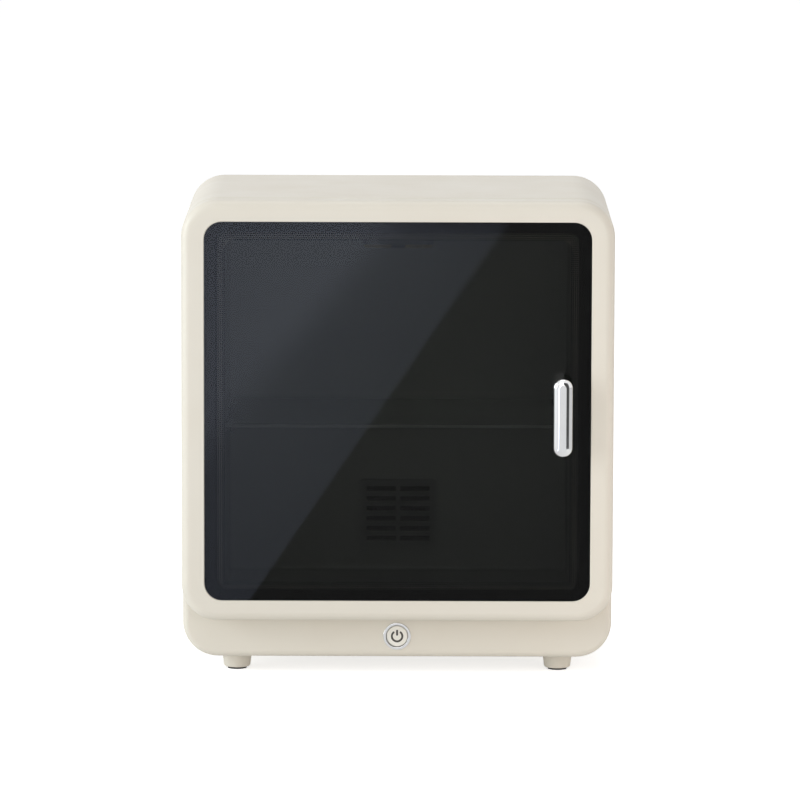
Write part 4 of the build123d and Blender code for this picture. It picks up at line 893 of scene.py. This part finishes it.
# Handle, its washers and the button's ring: die-cast metal with a mirror plating over it.
# The handle is screwed on through the glass, with plastic washers behind the pane.
mirror_plate = plated("mirror_plating", srgb(236, 236, 236), srgb(228, 228, 229), (0.03, 0.09), 120.0)
dress(mirror_plate, "handle", "button_ring")
dress(black_plastic, "handle_washers")

# Door magnets: sintered bars with a nickel plating.
# They sit inside the door, across from the steel strikes behind the front wall.
nickel = plated("nickel_plating", srgb(206, 204, 198), srgb(190, 188, 182), (0.12, 0.24))
dress(nickel, "door_magnets")

# Power button: a moulded satin cap a little paler than the housing, held behind the plated ring by its
# flange. A stand-by sign is let into its face in dark ink.
cap_finish = moulded("button_cap", srgb(244, 241, 232), srgb(240, 236, 226), (0.34, 0.42))
dress(cap_finish, "power_button")


def stand_by_sign(name, centre, ring_radius, stroke, half_gap, bar_low, bar_high, depth, steps=48):
    """An open ring with a bar in its gap, as flat strips with rounded ends that look along -Y."""
    mesh = bmesh.new()
    end_steps = 8

    def strip(path):
        """A strip of stroke width along a path, with a half circle at each end, closed all round."""
        outline = []
        for side in (1, -1):
            run = path if side > 0 else path[::-1]
            for i, point in enumerate(run):
                ahead = run[min(i + 1, len(run) - 1)] - run[max(i - 1, 0)]
                across = Vector((-ahead.y, ahead.x)).normalized()
                outline.append(point + across * stroke / 2)
            ahead = (run[-1] - run[-2]).normalized()
            start = Vector((-ahead.y, ahead.x))
            for turn in range(1, end_steps):
                outline.append(run[-1] + Matrix.Rotation(-pi * turn / end_steps, 2) @ start * stroke / 2)
        front = [mesh.verts.new((centre.x + p.x, centre.y, centre.z + p.y)) for p in outline]
        back = [mesh.verts.new((v.co.x, v.co.y + depth, v.co.z)) for v in front]
        mesh.faces.new(front)
        mesh.faces.new(back[::-1])
        for i in range(len(front)):
            mesh.faces.new((front[i - 1], back[i - 1], back[i], front[i]))

    turns = [half_gap + (2 * pi - 2 * half_gap) * i / steps for i in range(steps + 1)]
    strip([Vector((ring_radius * sin(turn), ring_radius * cos(turn))) for turn in turns])
    strip([Vector((0.0, bar_low)), Vector((0.0, bar_high))])
    bmesh.ops.recalc_face_normals(mesh, faces=mesh.faces)
    bmesh.ops.triangulate(mesh, faces=mesh.faces)
    data = bpy.data.meshes.new(name)
    mesh.to_mesh(data)
    mesh.free()
    return new_piece(name, data)


cap_low, cap_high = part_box("power_button")
sign_proud = 0.03 * MM
sign_depth = 0.25 * MM
cap_face = Vector(((cap_low.x + cap_high.x) / 2, cap_low.y - sign_proud, (cap_low.z + cap_high.z) / 2))
sign = stand_by_sign(
    "power_sign",
    cap_face,
    ring_radius=4.15 * MM,
    stroke=1.55 * MM,
    half_gap=radians(42),
    bar_low=1.2 * MM,
    bar_high=4.4 * MM,
    depth=sign_depth,
)
sign_ink = moulded("dark_sign_ink", srgb(74, 69, 62), srgb(64, 60, 54), (0.4, 0.5), 200.0)
sign.data.materials.append(sign_ink)
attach(sign, "power_button")

# Studio: a white table top that runs out of sight, and a white surround. A large soft lamp stands at the
# left, weaker ones above, in front and overhead, and a small warm one low at the right. Two cards before
# the cabinet show only in its glass and metal.
scene = bpy.context.scene
scene.view_settings.view_transform = "Standard"


def by_ray(tree, lit, mirrored, seen):
    """A strength for rays that light the object, for those it mirrors or passes, and for the camera's."""
    rays = add_node(tree, "ShaderNodeLightPath").outputs
    kinds = {0: rays["Is Glossy Ray"], 1: rays["Is Transmission Ray"]}
    mirror_ray = add_node(tree, "ShaderNodeMath", kinds, operation="MAXIMUM").outputs["Value"]
    inner = {"Value": mirror_ray, "To Min": lit, "To Max": mirrored}
    strength = add_node(tree, "ShaderNodeMapRange", inner).outputs["Result"]
    outer = {"Value": rays["Is Camera Ray"], "To Min": strength, "To Max": seen}
    return add_node(tree, "ShaderNodeMapRange", outer).outputs["Result"]


world = bpy.data.worlds.new("white_studio")
world.use_nodes = True
scene.world = world
sky = world.node_tree.nodes["Background"]
sky.inputs["Color"].default_value = (1.0, 1.0, 1.0, 1.0)
sky_strength = by_ray(world.node_tree, lit=0.42, mirrored=1.0, seen=1.0)
world.node_tree.links.new(sky_strength, sky.inputs["Strength"])


def sheet(name, corners, material):
    """A flat part of the studio through its corners."""
    mesh = bpy.data.meshes.new(name)
    mesh.from_pydata(corners, [], [tuple(range(len(corners)))])
    mesh.materials.append(material)
    piece = new_piece(name, mesh)
    return piece


floor_half = 14.0
floor_finish, floor_tree, floor_shader = new_material("white_table_top")
floor_shader.inputs["Base Color"].default_value = (0.8, 0.8, 0.8, 1.0)
floor_shader.inputs["Roughness"].default_value = 1.0
floor_shader.inputs["Specular IOR Level"].default_value = 0.0
floor_shader.inputs["Emission Color"].default_value = (1.0, 1.0, 1.0, 1.0)
floor_glow = by_ray(floor_tree, lit=0.12, mirrored=0.2, seen=0.66)
floor_tree.links.new(floor_glow, floor_shader.inputs["Emission Strength"])
sheet(
    "table_top",
    [(x * floor_half, y * floor_half, 0.0) for x, y in ((-1, -1), (1, -1), (1, 1), (-1, 1))],
    floor_finish,
)


def card(name, corners, colour, edge_normal, edge_offset, width, brightest, shares):
    """A shining sheet seen only in reflections, with shares of its brightness across it from one edge."""
    material, tree, shader = new_material(name)
    tree.nodes.remove(shader)
    place = add_node(tree, "ShaderNodeTexCoord").outputs["Object"]
    along = add_node(tree, "ShaderNodeVectorMath", {0: place, 1: edge_normal}, operation="DOT_PRODUCT")
    across = {"Value": along.outputs["Value"], "From Min": edge_offset, "From Max": edge_offset + width}
    way_across = add_node(tree, "ShaderNodeMapRange", across).outputs["Result"]
    ramp = add_node(tree, "ShaderNodeValToRGB", {"Fac": way_across})
    stops = ramp.color_ramp.elements
    stops.remove(stops[1])
    for index, (position, share) in enumerate(shares):
        stop = stops.new(position) if index else stops[0]
        stop.position = position
        stop.color = tuple(share * part for part in colour[:3]) + (1.0,)
    shine = add_node(tree, "ShaderNodeEmission", {"Color": ramp.outputs["Color"], "Strength": brightest})
    tree.links.new(shine.outputs["Emission"], tree.nodes["Material Output"].inputs["Surface"])
    piece = sheet(name, corners, material)
    piece.visible_camera = False
    piece.visible_diffuse = False
    piece.visible_transmission = False
    piece.visible_shadow = False


card_height = 2 * MM
card(
    "left_card",
    [(x, y, card_height) for x, y in ((-0.19, -0.44), (-0.128, -0.44), (0.14, -3.5), (-0.29, -3.5))],
    srgb(225, 234, 255),
    edge_normal=(-1.0, -0.0875, 0.0),
    edge_offset=0.166,
    width=0.18,
    brightest=5.5,
    shares=((0.0, 0.47), (0.7, 0.6), (1.0, 1.0)),
)
card(
    "right_flag",
    [(0.22, -1.4, 0.0), (1.1, -0.9, 0.0), (1.1, -0.9, 1.2), (0.22, -1.4, 1.2)],
    (1.0, 1.0, 1.0, 1.0),
    edge_normal=(1.0, 0.0, 0.0),
    edge_offset=0.22,
    width=0.88,
    brightest=0.12,
    shares=((0.0, 0.4), (1.0, 1.0)),
)


cabinet_middle = (cad_low + cad_high) / 2


def soft_lamp(name, place, size, power, colour, shows=True):
    """A square soft lamp that looks at the cabinet, and may show in reflections but not to the camera."""
    light = bpy.data.lights.new(name, "AREA")
    light.shape = "SQUARE"
    light.size = size
    light.energy = power
    light.color = colour
    lamp = bpy.data.objects.new(name, light)
    lamp.location = place
    lamp.rotation_euler = (cabinet_middle - Vector(place)).to_track_quat("-Z", "Y").to_euler()
    lamp.visible_camera = False
    lamp.visible_glossy = shows
    scene.collection.objects.link(lamp)


soft_lamp("left_lamp", (-3.1, -1.2, 1.0), size=2.2, power=66.0, colour=(0.9, 0.96, 1.0))
soft_lamp("upper_lamp", (-0.5, -2.6, 2.5), size=1.8, power=13.0, colour=(0.97, 0.985, 1.0))
soft_lamp("front_lamp", (0.3, -4.4, 0.5), size=2.0, power=21.5, colour=(1.0, 0.98, 0.95))
soft_lamp("low_lamp", (0.62, -0.5, 0.13), size=0.24, power=0.85, colour=(1.0, 0.87, 0.8), shows=False)
soft_lamp("top_lamp", (0.1, 0.5, 3.0), size=1.8, power=18.0, colour=(1.0, 1.0, 1.0))

# Camera: far off and a little above the cabinet, almost square to the door, as the photograph was taken.
# Its distance, pitch and focal length come from the photograph's own edges.
camera_distance = 4.588
camera_height = 0.852
camera_side = 0.014
camera_pitch = radians(7.8)
camera_roll = radians(0.15)
axis_at_door = 0.0019
focal_pixels = 5900.0
image_pixels = 800.0
sensor_mm = 36.0
door_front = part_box("door_frame")[0].y
camera_data = bpy.data.cameras.new("camera")
camera_data.sensor_width = sensor_mm
camera_data.lens = focal_pixels * sensor_mm / image_pixels
camera = bpy.data.objects.new("camera", camera_data)
camera_yaw = asin((camera_side - axis_at_door) / camera_distance)
camera.location = (camera_side, door_front - camera_distance, camera_height)
turn = (
    Matrix.Rotation(camera_yaw, 3, "Z")
    @ Matrix.Rotation(pi / 2 - camera_pitch, 3, "X")
    @ Matrix.Rotation(camera_roll, 3, "Z")
)
camera.rotation_euler = turn.to_euler()
scene.collection.objects.link(camera)
scene.camera = camera
